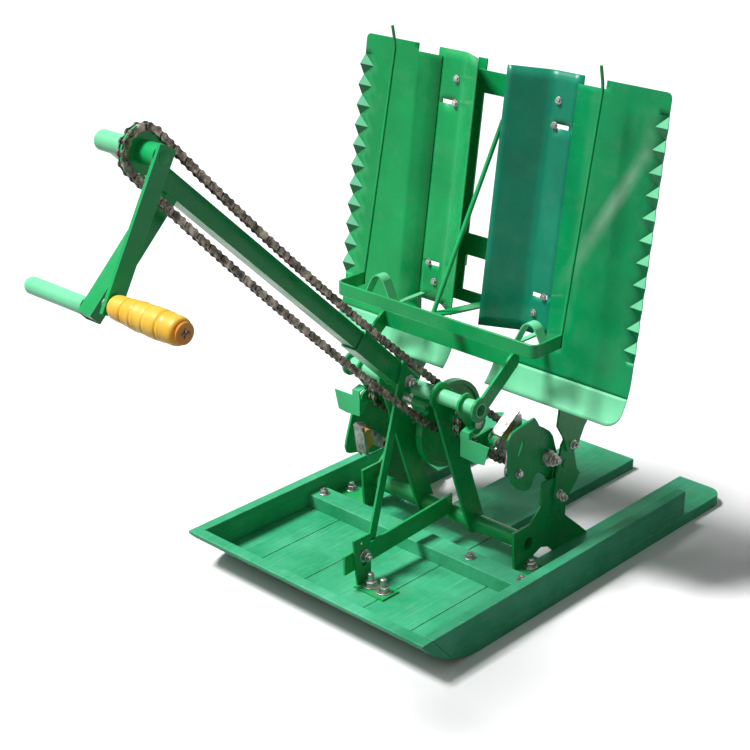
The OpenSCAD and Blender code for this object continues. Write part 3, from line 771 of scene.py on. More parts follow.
def settle(mesh: bpy.types.Mesh, name: str, body: Body, slot: Slot, replaces: tuple[str, ...],
           bevel: float, wall: float, smooth: float,
           material: bpy.types.Material | None = None) -> bpy.types.Object:
    """Merge a mesh, turn its faces out, add its modifiers and ride it on its body.

    Args:
        mesh: mesh in metres.
        name: plain name of the piece.
        body: body it rides on.
        slot: slot its finish belongs to.
        replaces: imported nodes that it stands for.
        bevel: width of the rounded edges in millimetres.
        wall: thickness given to an open surface in millimetres.
        smooth: angle in degrees above which an edge stays sharp, or 0 for flat facets.
        material: finish other than the slot's own.

    Returns:
        The new object.
    """
    work = bmesh.new()
    work.from_mesh(mesh)
    bmesh.ops.remove_doubles(work, verts=work.verts, dist=SAME_POINT)
    bmesh.ops.dissolve_degenerate(work, edges=work.edges, dist=NO_LENGTH)
    if not wall:
        bmesh.ops.dissolve_limit(work, angle_limit=SAME_PLANE, verts=work.verts, edges=work.edges)
    bmesh.ops.recalc_face_normals(work, faces=work.faces)
    work.to_mesh(mesh)
    work.free()
    if smooth:
        mesh.shade_smooth()
        mesh.set_sharp_from_angle(angle=math.radians(smooth))
    mesh.materials.clear()
    mesh.materials.append(material or finish_of(slot))
    obj = bpy.data.objects.new(name, mesh)
    bpy.context.scene.collection.objects.link(obj)
    if wall:
        thick = obj.modifiers.new("wall", "SOLIDIFY")
        thick.thickness = wall * MM
        thick.offset = 0.0
    if bevel:
        ease = obj.modifiers.new("eased edges", "BEVEL")
        ease.width = bevel * MM
        ease.segments = 2
        ease.limit_method = "ANGLE"
        ease.angle_limit = EASED_FROM
        ease.harden_normals = True
    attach(obj, body.value)
    if replaces:
        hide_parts(*replaces)
    LOG.info("made %s on %s with %d faces", name, body.value, len(mesh.polygons))
    return obj


def round_section(r: float, sides: int = 16) -> Array:
    """Circle of radius r as (r cos a, r sin a)."""
    a = np.arange(sides) * 2 * np.pi / sides
    return np.stack([r * np.cos(a), r * np.sin(a)], -1)


def flat_section(w: float, t: float, r: float = 0.6) -> Array:
    """Flat bar's outline, with its corners cut at 45 degrees.

    Args:
        w: width.
        t: thickness.
        r: length cut off each side at a corner.

    Returns:
        8 by 2 outline.
    """
    x, y = w / 2, t / 2
    return np.array([(x, r - y), (x, y - r), (x - r, y), (r - x, y), (-x, y - r), (-x, r - y),
                     (r - x, -y), (x - r, -y)])


def rounded_path(points: Sequence[Triple], r: float, steps: int = 6) -> Array:
    """Round a polyline's inner corners.

    Each corner b becomes the curve (1 - t)^2 u + 2 t (1 - t) b + t^2 v, where u
    and v lie r before and after it.

    Args:
        points: corners of the polyline.
        r: length taken up on each side of a corner.
        steps: points along each curve.

    Returns:
        n by 3 path.
    """
    pts = [np.array(p, float) for p in points]
    out = [pts[0]]
    for a, b, c in zip(pts[:-2], pts[1:-1], pts[2:]):
        u = b + (a - b) / np.linalg.norm(a - b) * r
        v = b + (c - b) / np.linalg.norm(c - b) * r
        t = np.linspace(0, 1, steps)[:, None]
        out += list((1 - t) ** 2 * u + 2 * t * (1 - t) * b + t ** 2 * v)
    return np.array(out + [pts[-1]])


# ---- sub-assemblies ----
@dataclass
class PlateWork:
    """Packed plates and boards shown again with eased edges."""

    boards: tuple[str, ...] = ("tongue_board", "skid_boards", "floor_boards", "bow_board",
                               "rail_left", "rail_right", "cross_beam")
    tubes: tuple[str, ...] = ("boom", "sleeve", "hanger")
    plates: tuple[str, ...] = ("bracket_left", "bracket_right", "frame_plate_left",
                               "frame_plate_right", "drive_plates", "depth_bracket", "depth_strap",
                               "strut", "hoop", "rear_plate_left", "rear_plate_right", "post_left",
                               "post_right", "crank_arm", "arm_left", "arm_right", "rocker_left",
                               "rocker_right", "tray_frame", "claw_left", "claw_right", "feed_wheel")
    # nodes in pale enamel: partly a paler paint, partly a painted highlight
    pale_and_highlit: tuple[str, ...] = ("guide_grip", "main_tube", "head_tube", "arches")
    board_edge: float = 1.4
    tube_edge: float = 1.8
    plate_edge: float = 0.45
    sharp: float = 34.0

    def eased(self, node: str, width: float) -> None:
        """Stand a merged copy of a node, with rounded edges, in its place.

        Args:
            node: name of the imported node.
            width: width of the rounded edges in millimetres.
        """
        source = FRAME["nodes"][node]
        slot = Slot(SLOT_OF[node])
        settle(source.data.copy(), "eased_" + node, Body(source["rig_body"]), slot, (node,),
               width, 0.0, self.sharp)

    def build(self) -> None:
        """Ease every board, tube and plate, and dress the other nodes."""
        for names, width in ((self.boards, self.board_edge), (self.tubes, self.tube_edge),
                             (self.plates, self.plate_edge)):
            for node in names:
                self.eased(node, width)
        # pale enamel, partly a paler paint and partly a painted highlight
        coat = PALE_AND_PAINTED_HIGHLIGHT.material()
        for node, slot in SLOT_OF.items():
            mesh = FRAME["nodes"][node].data
            mesh.materials.clear()
            mesh.materials.append(coat if node in self.pale_and_highlit else finish_of(Slot(slot)))


@dataclass
class RollerChain:
    """One loop of roller chain round two equal sprockets."""

    name: str
    node: str
    x: float
    start: Array
    length: float
    fall: float
    teeth: int
    sag: float = 0.0
    pitch: float = 12.7
    plate_h: float = 10.6
    plate_t: float = 1.3
    inner: float = 5.4
    roller: float = 8.0
    pin: float = 3.8
    pin_end: float = 0.7
    play: float = 0.1
    waist: float = 0.72
    mouth: float = 52.0
    eased: Pair = (0.8, 0.5)
    sharp: float = 40.0
    run_steps: int = 200
    turn_steps: int = 60

    def pins(self) -> Array:
        """Work out the pins' places along the loop, an even number a pitch apart.

        The loop is a hanging run, half a turn, the run back and half a turn; a
        run hangs by 4 sag u (1 - u) at the share u of its length.

        Returns:
            n by 2 places (y, z).
        """
        r = self.pitch / 2 / math.sin(math.pi / self.teeth)
        u = np.linspace(0, 1, self.run_steps)
        hang = 4 * self.sag * u * (1 - u)
        a = np.linspace(np.pi / 2, -np.pi / 2, self.turn_steps)
        top = np.stack([u * self.length, r - hang], -1)
        end = np.stack([self.length + r * np.cos(a), r * np.sin(a)], -1)
        back = np.stack([(1 - u) * self.length, -r - hang[::-1]], -1)
        home = np.stack([-r * np.cos(a), -r * np.sin(a)], -1)
        loop = np.concatenate([top, end[1:], back[1:], home[1:]])
        run = np.concatenate([[0], np.cumsum(np.linalg.norm(np.diff(loop, axis=0), axis=1))])
        n = 2 * round(run[-1] / self.pitch / 2)
        at = np.arange(n) * run[-1] / n
        flat = np.stack([np.interp(at, run, loop[:, i]) for i in (0, 1)], -1)
        c, s = math.cos(math.radians(self.fall)), math.sin(math.radians(self.fall))
        turned = np.stack([flat[:, 0] * c + flat[:, 1] * s, -flat[:, 0] * s + flat[:, 1] * c], -1)
        return turned + self.start

    def link(self, wide: float) -> tuple[Array, list[Face]]:
        """Shape one link in its own frame, along u from pin to pin.

        Each side plate is a waisted outline: two round ends joined by a
        shallow inward arc, extruded to the plate's thickness.

        Args:
            wide: distance of each plate's inner face from the middle.

        Returns:
            Points (u, v, x) and faces.
        """
        r = self.plate_h / 2
        a = np.radians(np.linspace(self.mouth, 360 - self.mouth, 9))
        left = np.stack([r * np.cos(a), r * np.sin(a)], -1)
        right = np.stack([self.pitch - r * np.cos(a), -r * np.sin(a)], -1)
        waist = r * self.waist
        outline = np.concatenate([left, [(self.pitch / 2, -waist)], right, [(self.pitch / 2, waist)]])
        shell = Shell()
        m = len(outline)
        for side in (-1, 1):
            near, far = side * wide, side * (wide + self.plate_t)
            net = np.stack([np.c_[outline, np.full(m, near)], np.c_[outline, np.full(m, far)]])
            first = shell.count
            shell.grid(net, wrap=True)
            shell.faces += [tuple(range(first, first + m)), tuple(range(first + m, first + 2 * m))]
        return np.concatenate(shell.points), shell.faces

    def barrel(self, r: float, half: float, sides: int) -> tuple[Array, list[Face]]:
        """Round bar across the chain at the link's first pin, with its ends eased.

        Args:
            r: radius.
            half: half of its length.
            sides: points round it.

        Returns:
            Points (u, v, x) and faces.
        """
        end, cut = r * self.eased[0], self.eased[1]
        shell = Shell().lathe([(-half, 0), (-half, end), (-half + cut, r), (half - cut, r),
                               (half, end), (half, 0)], (0, 0, 0), sides, 2)
        return np.concatenate(shell.points), shell.faces

    def build(self) -> None:
        """Place a link, roller and pin at every pitch, all links as one array."""
        pins = self.pins()
        step = np.roll(pins, -1, 0) - pins
        t = step / np.linalg.norm(step, axis=1, keepdims=True)
        n = np.stack([-t[:, 1], t[:, 0]], -1)
        shell = Shell()
        half, thick = self.inner / 2, self.plate_t
        pin_half = half + 2 * thick + self.pin_end
        kinds = [(self.link(half), slice(0, None, 2)),
                 (self.link(half + thick + self.play), slice(1, None, 2)),
                 (self.barrel(self.roller / 2, half - self.play, 12), slice(0, None)),
                 (self.barrel(self.pin / 2, pin_half, 8), slice(0, None))]
        for (points, faces), which in kinds:
            p, tt, nn = pins[which], t[which], n[which]
            yz = p[:, None] + points[None, :, :1] * tt[:, None] + points[None, :, 1:2] * nn[:, None]
            x = np.broadcast_to(self.x + points[:, 2], yz.shape[:2])[..., None]
            whole = np.concatenate([x, yz], -1).reshape(-1, 3)
            spread = np.arange(len(p)) * len(points)
            shell.add(whole, [tuple(i + k for i in f) for k in spread for f in faces])
        shell.piece(self.name, Body.FRAME, Slot.CHAIN, (self.node,), smooth=self.sharp)


@dataclass
class HandCrank:
    """Turning grip, its end washer and the small fittings of the crank.

    A profile is a row of (distance along the axis, radius).
    """

    inside: float = 64.5
    length: float = 113.0
    radius: float = 13.8
    swell: float = 3.9
    swell_turn: float = 0.8
    swell_lean: float = 1.1
    ripple: Pair = (0.3, 21.0)
    largest: float = 18.0
    grooves: tuple[float, ...] = (24.0, 43.0, 64.0, 86.0)
    groove: Pair = (1.5, 1.3)
    ridge: Triple = (0.5, 2.2, 4.5)
    near_step: Pair = (2.6, 1.6)
    far_step: Pair = (3.2, 1.8)
    bore: float = 6.2
    near_face: float = 11.5
    recess: Triple = (2.5, 9.0, 8.2)
    plug: tuple[Pair, ...] = ((-6, 0), (-6, 7.6), (0.4, 8.0), (0.8, 12.8), (2.4, 13.0), (3.4, 12.0),
                              (3.6, 7.0), (2.4, 3.6), (2.2, 0))
    plug_out: float = 2.0
    slot: Pair = (6.0, 1.0)
    slot_deep: Pair = (2.0, 4.2)
    stud: float = 6.0
    stud_nose: Triple = (-1.2, -0.2, 0.4)
    stud_back: float = 5.5
    stud_past: float = 3.0
    nut_back: float = 6.5
    nut: float = 14.0
    axle: tuple[Pair, ...] = ((-0.5, 0), (-0.5, 8.4), (0.4, 8.4), (0.9, 7.6), (0.9, 0))

    def skin(self) -> Array:
        """Outline of the grip, a barrel of swelling rings cut by four grooves.

        Its radius is the plain radius plus the swell times sin(turn pi t^lean)
        along the share t of its length, and a small sine for a ripple. A narrow
        bell is taken off at each groove and a wider one is added past it, and
        the radius falls off by an exponential at both ends.

        Returns:
            n by 2 closed profile.
        """
        t = np.linspace(0, self.length, 110)
        share = t / self.length
        r = self.radius + self.swell * np.sin(self.swell_turn * np.pi * share ** self.swell_lean)
        r += self.ripple[0] * np.sin(share * self.ripple[1])
        deep, narrow = self.groove
        high, wide, past = self.ridge
        for at in self.grooves:
            r -= deep * np.exp(-((t - at) / narrow) ** 2)
            r += high * np.exp(-((t - at - past) / wide) ** 2)
        near = self.near_step[0] * np.exp(-(t / self.near_step[1]))
        r -= near + self.far_step[0] * np.exp(-((self.length - t) / self.far_step[1]))
        sink, rim, floor = self.recess
        profile = np.concatenate([
            [(0, self.bore), (0, self.near_face)],
            np.stack([t, np.minimum(r, self.largest)], -1),
            [(self.length, rim), (self.length - sink, floor), (self.length - sink, self.bore)]])
        return np.vstack([profile, profile[:1]])

    def build(self) -> None:
        """Turn the grip, its plug with a dark cross as painted shade in its crossed slot, the stud it runs
        on and the axle's end.
        """
        pin = JOINT["grip_spin"].copy()
        pin[0] = self.inside
        Shell().lathe(self.skin(), pin, 56).piece("grip_skin", Body.GRIP, Slot.YELLOW, ("grip",), smooth=50)
        end = pin + (self.length + self.plug_out, 0, 0)
        plug = Shell().lathe(self.plug, end, 32)
        plug.piece("grip_end_plug", Body.CRANK, Slot.ORANGE, ("crank_pin",), smooth=35)
        # dark steel cross that stands in for the shade inside the plug's cross-shaped hole
        cross = Shell()
        long, half = self.slot
        for turn in (0.0, math.pi / 2):
            d = np.array([math.cos(turn), math.sin(turn)])
            e = np.array([-math.sin(turn), math.cos(turn)])
            outline = np.array([d * long + e * half, -d * long + e * half,
                                -d * long - e * half, d * long - e * half])
            cross.prism(pin[1:] + outline, end[0] + self.slot_deep[0], end[0] + self.slot_deep[1])
        cross.piece("grip_end_slot_painted_shade", Body.CRANK, Slot.CHAIN)
        nose, full, cut = self.stud_nose
        tip = self.length + self.stud_past
        stud = Shell().lathe([(nose, 0), (nose, self.stud - cut), (full, self.stud), (tip, self.stud),
                              (tip, 0)], pin - (self.stud_back, 0, 0), 24)
        stud.bolt(pin - (self.nut_back, 0, 0), way=-1, across=self.nut, thread=2)
        stud.piece("crank_pin_stud", Body.CRANK, Slot.STEEL)
        axle = JOINT["crank_spin"].copy()
        axle[0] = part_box("crank_arm")[1][0] / MM
        Shell().lathe(self.axle, axle, 32).piece("axle_end", Body.CRANK, Slot.GREEN)


@dataclass
class BoomHead:
    """Rounded end of the head tube and the weld beads round its joint."""

    tube: float = 25.0
    dome: float = 6.5
    fullness: float = 0.8
    overlap: float = 0.2
    bead: float = 1.6
    bead_at: float = 1.0
    bead_proud: float = 0.3
    weave: Pair = (0.4, 24.0)

    def build(self) -> None:
        """Close the tube's free end with a dome and lay a weld round its joint.

        At angle a of a quarter turn the dome is sin a of its depth out, and its
        radius is the tube's times (cos a) to the fullness. The weld's middle
        goes round the tube and weaves along it by a sine.
        """
        head = JOINT["crank_spin"]
        free_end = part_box("head_tube")[0][0] / MM
        r = self.tube / 2
        a = np.linspace(0, np.pi / 2, 9)
        dome = np.stack([free_end - self.dome * np.sin(a), r * np.cos(a) ** self.fullness], -1)
        start = free_end + self.overlap
        cap = Shell().lathe(np.vstack([[(start, 0)], [(start, r)], dome]), (0, head[1], head[2]), 40)
        # the cap wears the pale enamel, partly a paler paint and partly a painted highlight
        cap.piece("head_tube_cap", Body.FRAME, Slot.GREEN, smooth=60, material=PALE_AND_PAINTED_HIGHLIGHT.material())
        beads = Shell()
        ring = np.linspace(0, 2 * np.pi, 73)[:-1]
        reach = r + self.bead_proud
        along = self.bead_at + self.weave[0] * np.sin(ring * self.weave[1])
        path = np.stack([along, head[1] + reach * np.cos(ring), head[2] + reach * np.sin(ring)], -1)
        beads.sweep(path, round_section(self.bead, 8), (1, 0, 0), closed=True)
        beads.piece("head_welds", Body.FRAME, Slot.GREEN, smooth=60)


@dataclass
class TrayPlane:
    """The leaning plane of the tray, with s down from its top and off behind it."""

    y: float = 109.0
    top: float = 718.0
    lean: float = math.radians(7.7)
    run: float = 390.0
    lip_r: float = 111.0
    lip_turn: float = math.radians(38)

    def at(self, x: Array, s: Array, off: Array) -> Array:
        """Points in the machine's frame.

        On the flat part a point is the top plus s down the lean and off behind;
        past it the sheet follows an arc of the lip's radius.

        Args:
            x: stations across.
            s: length down the sheet.
            off: distance behind the sheet.

        Returns:
            Array of the same shape with a last axis of 3.
        """
        x, s, off = np.broadcast_arrays(np.asarray(x, float), np.asarray(s, float), np.asarray(off, float))
        turn = np.clip((s - self.run) / self.lip_r, 0, None)
        u = np.where(s > self.run, (self.lip_r + off) * np.cos(turn) - self.lip_r, off)
        v = np.where(s > self.run, -self.run - (self.lip_r + off) * np.sin(turn), -s)
        y = self.y + u * math.cos(self.lean) + v * math.sin(self.lean)
        z = self.top - u * math.sin(self.lean) + v * math.cos(self.lean)
        return np.stack([x, y, z], -1)

    def end(self) -> float:
        """Length of the sheet to the end of its lip."""
        return self.run + self.lip_r * self.lip_turn


@dataclass
class OuterSheet:
    """Outer tray sheet with a row of three-cornered dents pressed along its edge.

    The crest of a dent is given at its inner and at its outer side, as a share
    of the step. The rows and columns that round the top corner are lengths down
    and shares of the corner's radius, and mid is the middle of the sheet's wall.
    """

    side: int
    plane: TrayPlane = field(default_factory=TrayPlane)
    inner: float = 122.0
    outer: float = 272.0
    lip_in: float = 40.0
    notch: Pair = (46.0, 12.0)
    corner: float = 8.0
    lip_corner: float = 20.0
    margin: float = 19.0
    lugs: int = 11
    first: float = 31.0
    step: float = 30.7
    stand: float = 5.5
    spread: float = 0.8
    crest: Pair = (0.53, 0.5)
    top_rows: tuple[float, ...] = (0.0, 0.6, 2.0, 4.5)
    notch_row: float = 20.0
    low_rows: Triple = (0.0, 8.0, 14.0)
    column_from: float = 58.0
    corner_columns: tuple[float, ...] = (1.0, 0.8, 0.6, 0.4, 0.2, 0.08, 0.0)
    mid: float = 0.75
    wall: float = 1.4
    lip_steps: int = 16
    bright_from: int = 6

    def dents(self, faces: list[Face]) -> Shell:
        """Fold the dented margin.

        Each step of the margin has its four corners and the middle of its inner
        side in the sheet, and the middle of its outer side pressed forward by
        stand and a little outwards, so one facet catches the light and the one
        under it loses it.

        Args:
            faces: which triangles of a step to make, by the places of their corners.

        Returns:
            Shell of the margin, one patch for each step.
        """
        inner_crest, outer_crest = self.crest
        u = np.array([0, 1, 0, 1, 0, 1])
        v = np.array([0, 0, inner_crest, outer_crest, 1, 1])
        rise = np.where((u == 1) & (v == outer_crest), self.stand, 0.0)
        x = self.outer - self.margin * (1 - u) + self.spread * rise
        shell = Shell()
        for k in range(self.lugs):
            shell.add(self.plane.at(x, self.first + (k + v) * self.step, self.mid - rise), faces)
        return shell

    def flat(self, lip: Array) -> Shell:
        """Flat part of the sheet, notched at its inner top corner and rounded at its outer one.

        The rounding moves a point at distance d past the corner's start down by
        c - sqrt(c^2 - d^2), less and less towards the first dent. The quads
        where the dents lie, and those in the notch, are left out.

        Args:
            lip: lengths down the sheet of the rows of its lip.

        Returns:
            The flat part, down to where the painted reflection on the lip starts.
        """
        last = self.first + self.lugs * self.step
        edge = self.outer - self.margin
        steps = self.first + np.add.outer(np.arange(self.lugs), (0, self.crest[0])).ravel() * self.step
        top = np.array([*self.top_rows, self.notch[1], self.notch_row])
        low = last + np.array(self.low_rows)
        rows = np.concatenate([top, steps, low, lip[:self.bright_from + 1]])
        split = self.outer - self.corner * np.array(self.corner_columns)
        inside = np.concatenate([[self.inner, self.inner + self.notch[0]],
                                 np.linspace(self.inner + self.column_from, edge, 7)])
        x, s = np.meshgrid(np.concatenate([inside, [edge + self.margin / 2], split]), rows)
        over = np.clip(x - self.outer + self.corner, 0, None)
        round_off = self.corner - np.sqrt(np.clip(self.corner ** 2 - over ** 2, 0, None))
        s = np.where(s < self.first, round_off + s * (1 - round_off / self.first), s)
        row, left = rows[:-1, None], x[:-1, :-1]
        keep = ~((row < self.notch[1] - NEAR) & (left < self.inner + self.notch[0] - 1))
        keep &= (left < edge - NEAR) | (row < self.first - NEAR) | (row > last - NEAR)
        return Shell().grid(self.plane.at(x, s, self.mid), keep=keep)

    def curl(self, lip: Array) -> Shell:
        """End of the lip, painted pale as a painted reflection of the sky on its upturned curve, with its
        outer corner cut to a quarter circle.

        Args:
            lip: lengths down the sheet of the rows of its lip.

        Returns:
            The end of the lip. At a share of its length, each column reaches
            that share of the way to the column's own end.
        """
        turn = np.linspace(0, np.pi / 2, 8)
        end = self.outer - self.lip_corner * (1 - np.sin(turn))
        start = lip[self.bright_from]
        across = np.concatenate([np.linspace(self.lip_in, end[0], 9)[:-1], end])
        x, s = np.meshgrid(across, lip[self.bright_from:])
        short = np.concatenate([np.zeros(8), self.lip_corner * (1 - np.cos(turn))]) / (lip[-1] - start)
        return Shell().grid(self.plane.at(x, s - (s - start) * short, self.mid))

    def build(self) -> None:
        """Lay the flat part, the margin with its dents and the lip that reaches inwards."""
        lip = np.linspace(self.plane.run, self.plane.end(), self.lip_steps)
        shell = self.flat(lip)
        plain = self.dents([(0, 1, 2), (2, 5, 4)])
        shell.add(np.concatenate(plain.points), plain.faces)
        reach = np.linspace(self.lip_in, self.inner, 4)
        shell.grid(self.plane.at(*np.meshgrid(reach, lip[:self.bright_from + 1]), self.mid))
        name = "left" if self.side < 0 else "right"
        # each sheet's coat: the right one's darker green is painted shade
        parts = (("sheet", shell, GLOSS[self.side], 12),
                 # upper dent facets painted pale as a painted highlight
                 ("dents_upper_painted_highlight", self.dents([(1, 3, 2)]), PALE_AND_PAINTED_HIGHLIGHT, 0),
                 # lower dent facets painted dark as painted shade
                 ("dents_lower_painted_shade", self.dents([(2, 3, 5)]), PAINTED_SHADE, 0),
                 # the lip's end painted pale as a painted reflection of the sky
                 ("lip", self.curl(lip), PALE_AND_PAINTED_HIGHLIGHT, 30))
        for title, part, coat, smooth in parts:
            part = part.mirrored() if self.side < 0 else part
            part.piece(f"tray_{title}_{name}", Body.TRAY, Slot.GREEN,
                       ("tray_" + name,) if title == "sheet" else (), wall=self.wall,
                       smooth=smooth, material=coat.material())


@dataclass
class Divider:
    """Folded sheet between the seedling mat and the middle gap, with slots and screws.

    A screw is its distance past the fold and its distance down the sheet.
    """

    side: int
    plane: TrayPlane = field(default_factory=TrayPlane)
    outer: float = 130.0
    fold: float = 78.0
    flange: Pair = (53.0, 38.0)
    bend: float = 9.0
    long: float = 372.0
    back: float = 2.45
    wall: float = 1.4
    breaks: tuple[float, ...] = (36.0, 22.0, 10.0)
    end_short: Pair = (0.6, 0.5)
    slots: tuple[float, ...] = (78.0, 318.0)
    slot_tall: float = 6.0
    slot_columns: tuple[int, int] = (1, 2)
    screw_at: tuple[Pair, ...] = ((14.0, 40.0), (12.0, 75.0), (30.0, 315.0), (16.0, 342.0))
    screw: float = 7.0
    screw_seat: float = 0.75

    def profile(self) -> tuple[Array, Array]:
        """Section across the sheet: a flat, a fold and a flange that leans forward.

        The fold is the curve (1 - q)^2 a + 2 q (1 - q) b + q^2 c from the flat
        over the corner b to the flange.

        Returns:
            Stations across, and the distance behind the tray's plane at each.
        """
        q = np.linspace(0, 1, 9)
        across, forward = np.array(self.flange) / math.hypot(*self.flange)
        x0, x1 = self.fold + self.bend, self.fold - self.bend * across
        off1 = self.back - self.bend * forward
        curve_x = (1 - q) ** 2 * x0 + 2 * q * (1 - q) * self.fold + q ** 2 * x1
        curve_off = (1 - q ** 2) * self.back + q ** 2 * off1
        flat = np.array([self.outer, *(self.fold + v for v in self.breaks)])
        tail = np.linspace(0, 1, 8)[1:]
        end_x = self.fold - self.flange[0] + self.end_short[0]
        end_off = self.back - self.flange[1] + self.end_short[1]
        x = np.concatenate([flat, curve_x, x1 + (end_x - x1) * tail])
        off = np.concatenate([np.full(len(flat), self.back), curve_off, off1 * (1 - tail) + end_off * tail])
        return x, off

    def build(self) -> None:
        """Carry the folded profile down the tray, cut the slots and set the screws."""
        x, off = self.profile()
        cuts = [v for d in self.slots for v in (d - self.slot_tall, d)]
        rows = np.unique(np.concatenate([np.linspace(0, self.long, 25), cuts]))
        xx, ss = np.meshgrid(x, rows)
        hole = np.zeros((len(rows) - 1, len(x) - 1), bool)
        for d in self.slots:
            inside = (rows[:-1] > d - self.slot_tall - NEAR) & (rows[:-1] < d - NEAR)
            hole[np.ix_(inside, self.slot_columns)] = True
        shell = Shell().grid(self.plane.at(xx, ss, np.broadcast_to(off, xx.shape)), keep=~hole)
        screws = Shell()
        for past, down in self.screw_at:
            face = self.plane.at(self.fold + past, down, self.back - self.screw_seat)
            screws.bolt(face, 1, -1, self.screw)
        if self.side < 0:
            shell, screws = shell.mirrored(), screws.mirrored()
        name = "left" if self.side < 0 else "right"
        # the right divider gets painted shade and a painted sky reflection; the left keeps the plain green
        coat = None if self.side < 0 else SKY_REFLECTION_PAINTED.material()
        shell.piece("divider_sheet_" + name, Body.TRAY, Slot.GREEN, ("divider_" + name,),
                    wall=self.wall, smooth=24, material=coat)
        screws.piece("divider_screws_" + name, Body.TRAY, Slot.STEEL, smooth=30)


@dataclass
class MatHolder:
    """Front bar with rounded corners, the two straps, the brace rod and the strip.

    The straps' corners are (y, z), and the rod's and the strip's are (x, y, z).
    """

    half: float = 185.25
    bar_z: float = 377.0
    tall: float = 20.0
    thick: float = 3.5
    front: float = -48.25
    ends: float = 10.0
    bar_turn: float = 11.0
    strap: tuple[Pair, ...] = ((7, 368), (76.5, 717), (70, 747))
    strap_deep: float = 4.2
    strap_turn: float = 10.0
    rod: tuple[Triple, Triple] = ((0, -46.5, 380), (0, 99.5, 635))
    rod_r: float = 3.5
    strip: tuple[Triple, ...] = ((7.5, -46.5, 386), (7.5, -20, 381), (7.5, 64.8, 370))
    strip_flat: Pair = (19.0, 3.0)
    strip_turn: float = 8.0

    def build(self) -> None:
        """Bend the flat bar and the straps along their paths."""
        section = flat_section(self.tall, self.thick, 0.7)[:, ::-1]
        path = rounded_path([(-self.half, self.ends, self.bar_z), (-self.half, self.front, self.bar_z),
                             (self.half, self.front, self.bar_z), (self.half, self.ends, self.bar_z)],
                            self.bar_turn)
        shell = Shell().sweep(path, section, (0, 0, 1))
        flat = flat_section(self.thick, self.strap_deep)
        for s in (-1, 1):
            strap = rounded_path([(s * self.half, y, z) for y, z in self.strap], self.strap_turn)
            shell.sweep(strap, flat, (0, -1, 0))
        shell.sweep(np.linspace(*self.rod, 4), round_section(self.rod_r), (1, 0, 0))
        shell.sweep(rounded_path(self.strip, self.strip_turn), flat_section(*self.strip_flat), (0, 0, 1))
        shell.piece("mat_holder", Body.TRAY, Slot.GREEN, ("hold_down",), smooth=40)


@dataclass(frozen=True)
class Bolt:
    """A bolt: the point it is tightened against, its axis and side, its size and its thread.

    A rivet is the x of a flat round head on the other side of the sheet.
    """

    x: float
    y: float
    z: float
    axis: int = 0
    way: int = 1
    across: float = 13.0
    thread: float = 0.0
    rivet: float = 0.0


@dataclass
class Fasteners:
    """Bolts, nuts and washers, each on the face that it clamps.

    Paired bolts stand on both sides of the middle plane. The head and the nut
    of a planting arm are a size across the flats and a length of thread.
    """

    paired: tuple[Bolt, ...] = (
        Bolt(161.0, -6, 22, 2, thread=5),
        Bolt(199.0, -6, 22, 2, thread=5),
        Bolt(155, 63, 113, across=9.5, thread=3, rivet=147.0),
        Bolt(155, 72, 104, across=9.5, thread=3, rivet=147.0),
        Bolt(159, 86, 186, across=9.5, thread=4),
        Bolt(163, 92, 432, across=14, thread=4),
    )
    single: tuple[Bolt, ...] = (
        Bolt(29.0, -203, 21, 2, across=15, thread=12),
        Bolt(53.0, -203, 21, 2, across=15, thread=12),
        Bolt(13.5, -200, 63, thread=5),
        Bolt(2.5, -200, 60, way=-1),
        Bolt(-27.5, -96, 297, way=-1),
        Bolt(2.5, -97, 297, thread=4),
        Bolt(-30.0, -70.0, 40, 2, across=11, thread=2),
        Bolt(-196.0, -70.0, 40, 2, across=11, thread=2),
        Bolt(100.0, -70.0, 40, 2, across=11, thread=2),
        Bolt(196.0, -70.0, 40, 2, across=11, thread=2),
    )
    rivet: tuple[Pair, ...] = ((0, 0), (0, 5.5), (-1.0, 4.6), (-1.2, 0))
    arm_turn: float = 65.0
    claw_bolt: Pair = (-62.0, -4.3)
    arm_face: float = 142.0
    arm_head: Pair = (9.0, 1.5)
    pin_face: float = 156.0
    pin_nut: Pair = (14.0, 4.0)
    sharp: float = 30.0

    def build(self) -> None:
        """Set the bolts of the frame, the planting cranks and the arms."""
        frame = Shell()
        for s in (-1, 1):
            for b in self.paired:
                frame.bolt((s * b.x, b.y, b.z), b.axis, 1 if b.axis else s, b.across, b.thread)
                if b.rivet:
                    frame.lathe([(s * along, r) for along, r in self.rivet], (s * b.rivet, b.y, b.z), 24)
        for b in self.single:
            frame.bolt((b.x, b.y, b.z), b.axis, b.way, b.across, b.thread)
        frame.piece("frame_bolts", Body.FRAME, Slot.STEEL, smooth=self.sharp)
        for s, name, body in ((-1, "left", Body.PLANTER_L), (1, "right", Body.PLANTER_R)):
            pin = JOINT[f"planter_{name}_swing"][1:]
            turn = math.radians(self.arm_turn if s < 0 else 0.0)
            y, z = self.claw_bolt
            spot = pin + (y * math.cos(turn) - z * math.sin(turn), y * math.sin(turn) + z * math.cos(turn))
            Shell().bolt((s * self.arm_face, *spot), 0, s, *self.arm_head).piece(
                "claw_bolt_" + name, body, Slot.STEEL, smooth=self.sharp)
            Shell().bolt((s * self.pin_face, *pin), 0, s, *self.pin_nut).piece(
                "crank_pin_nut_" + name, Body.PLANTING, Slot.STEEL, smooth=self.sharp)


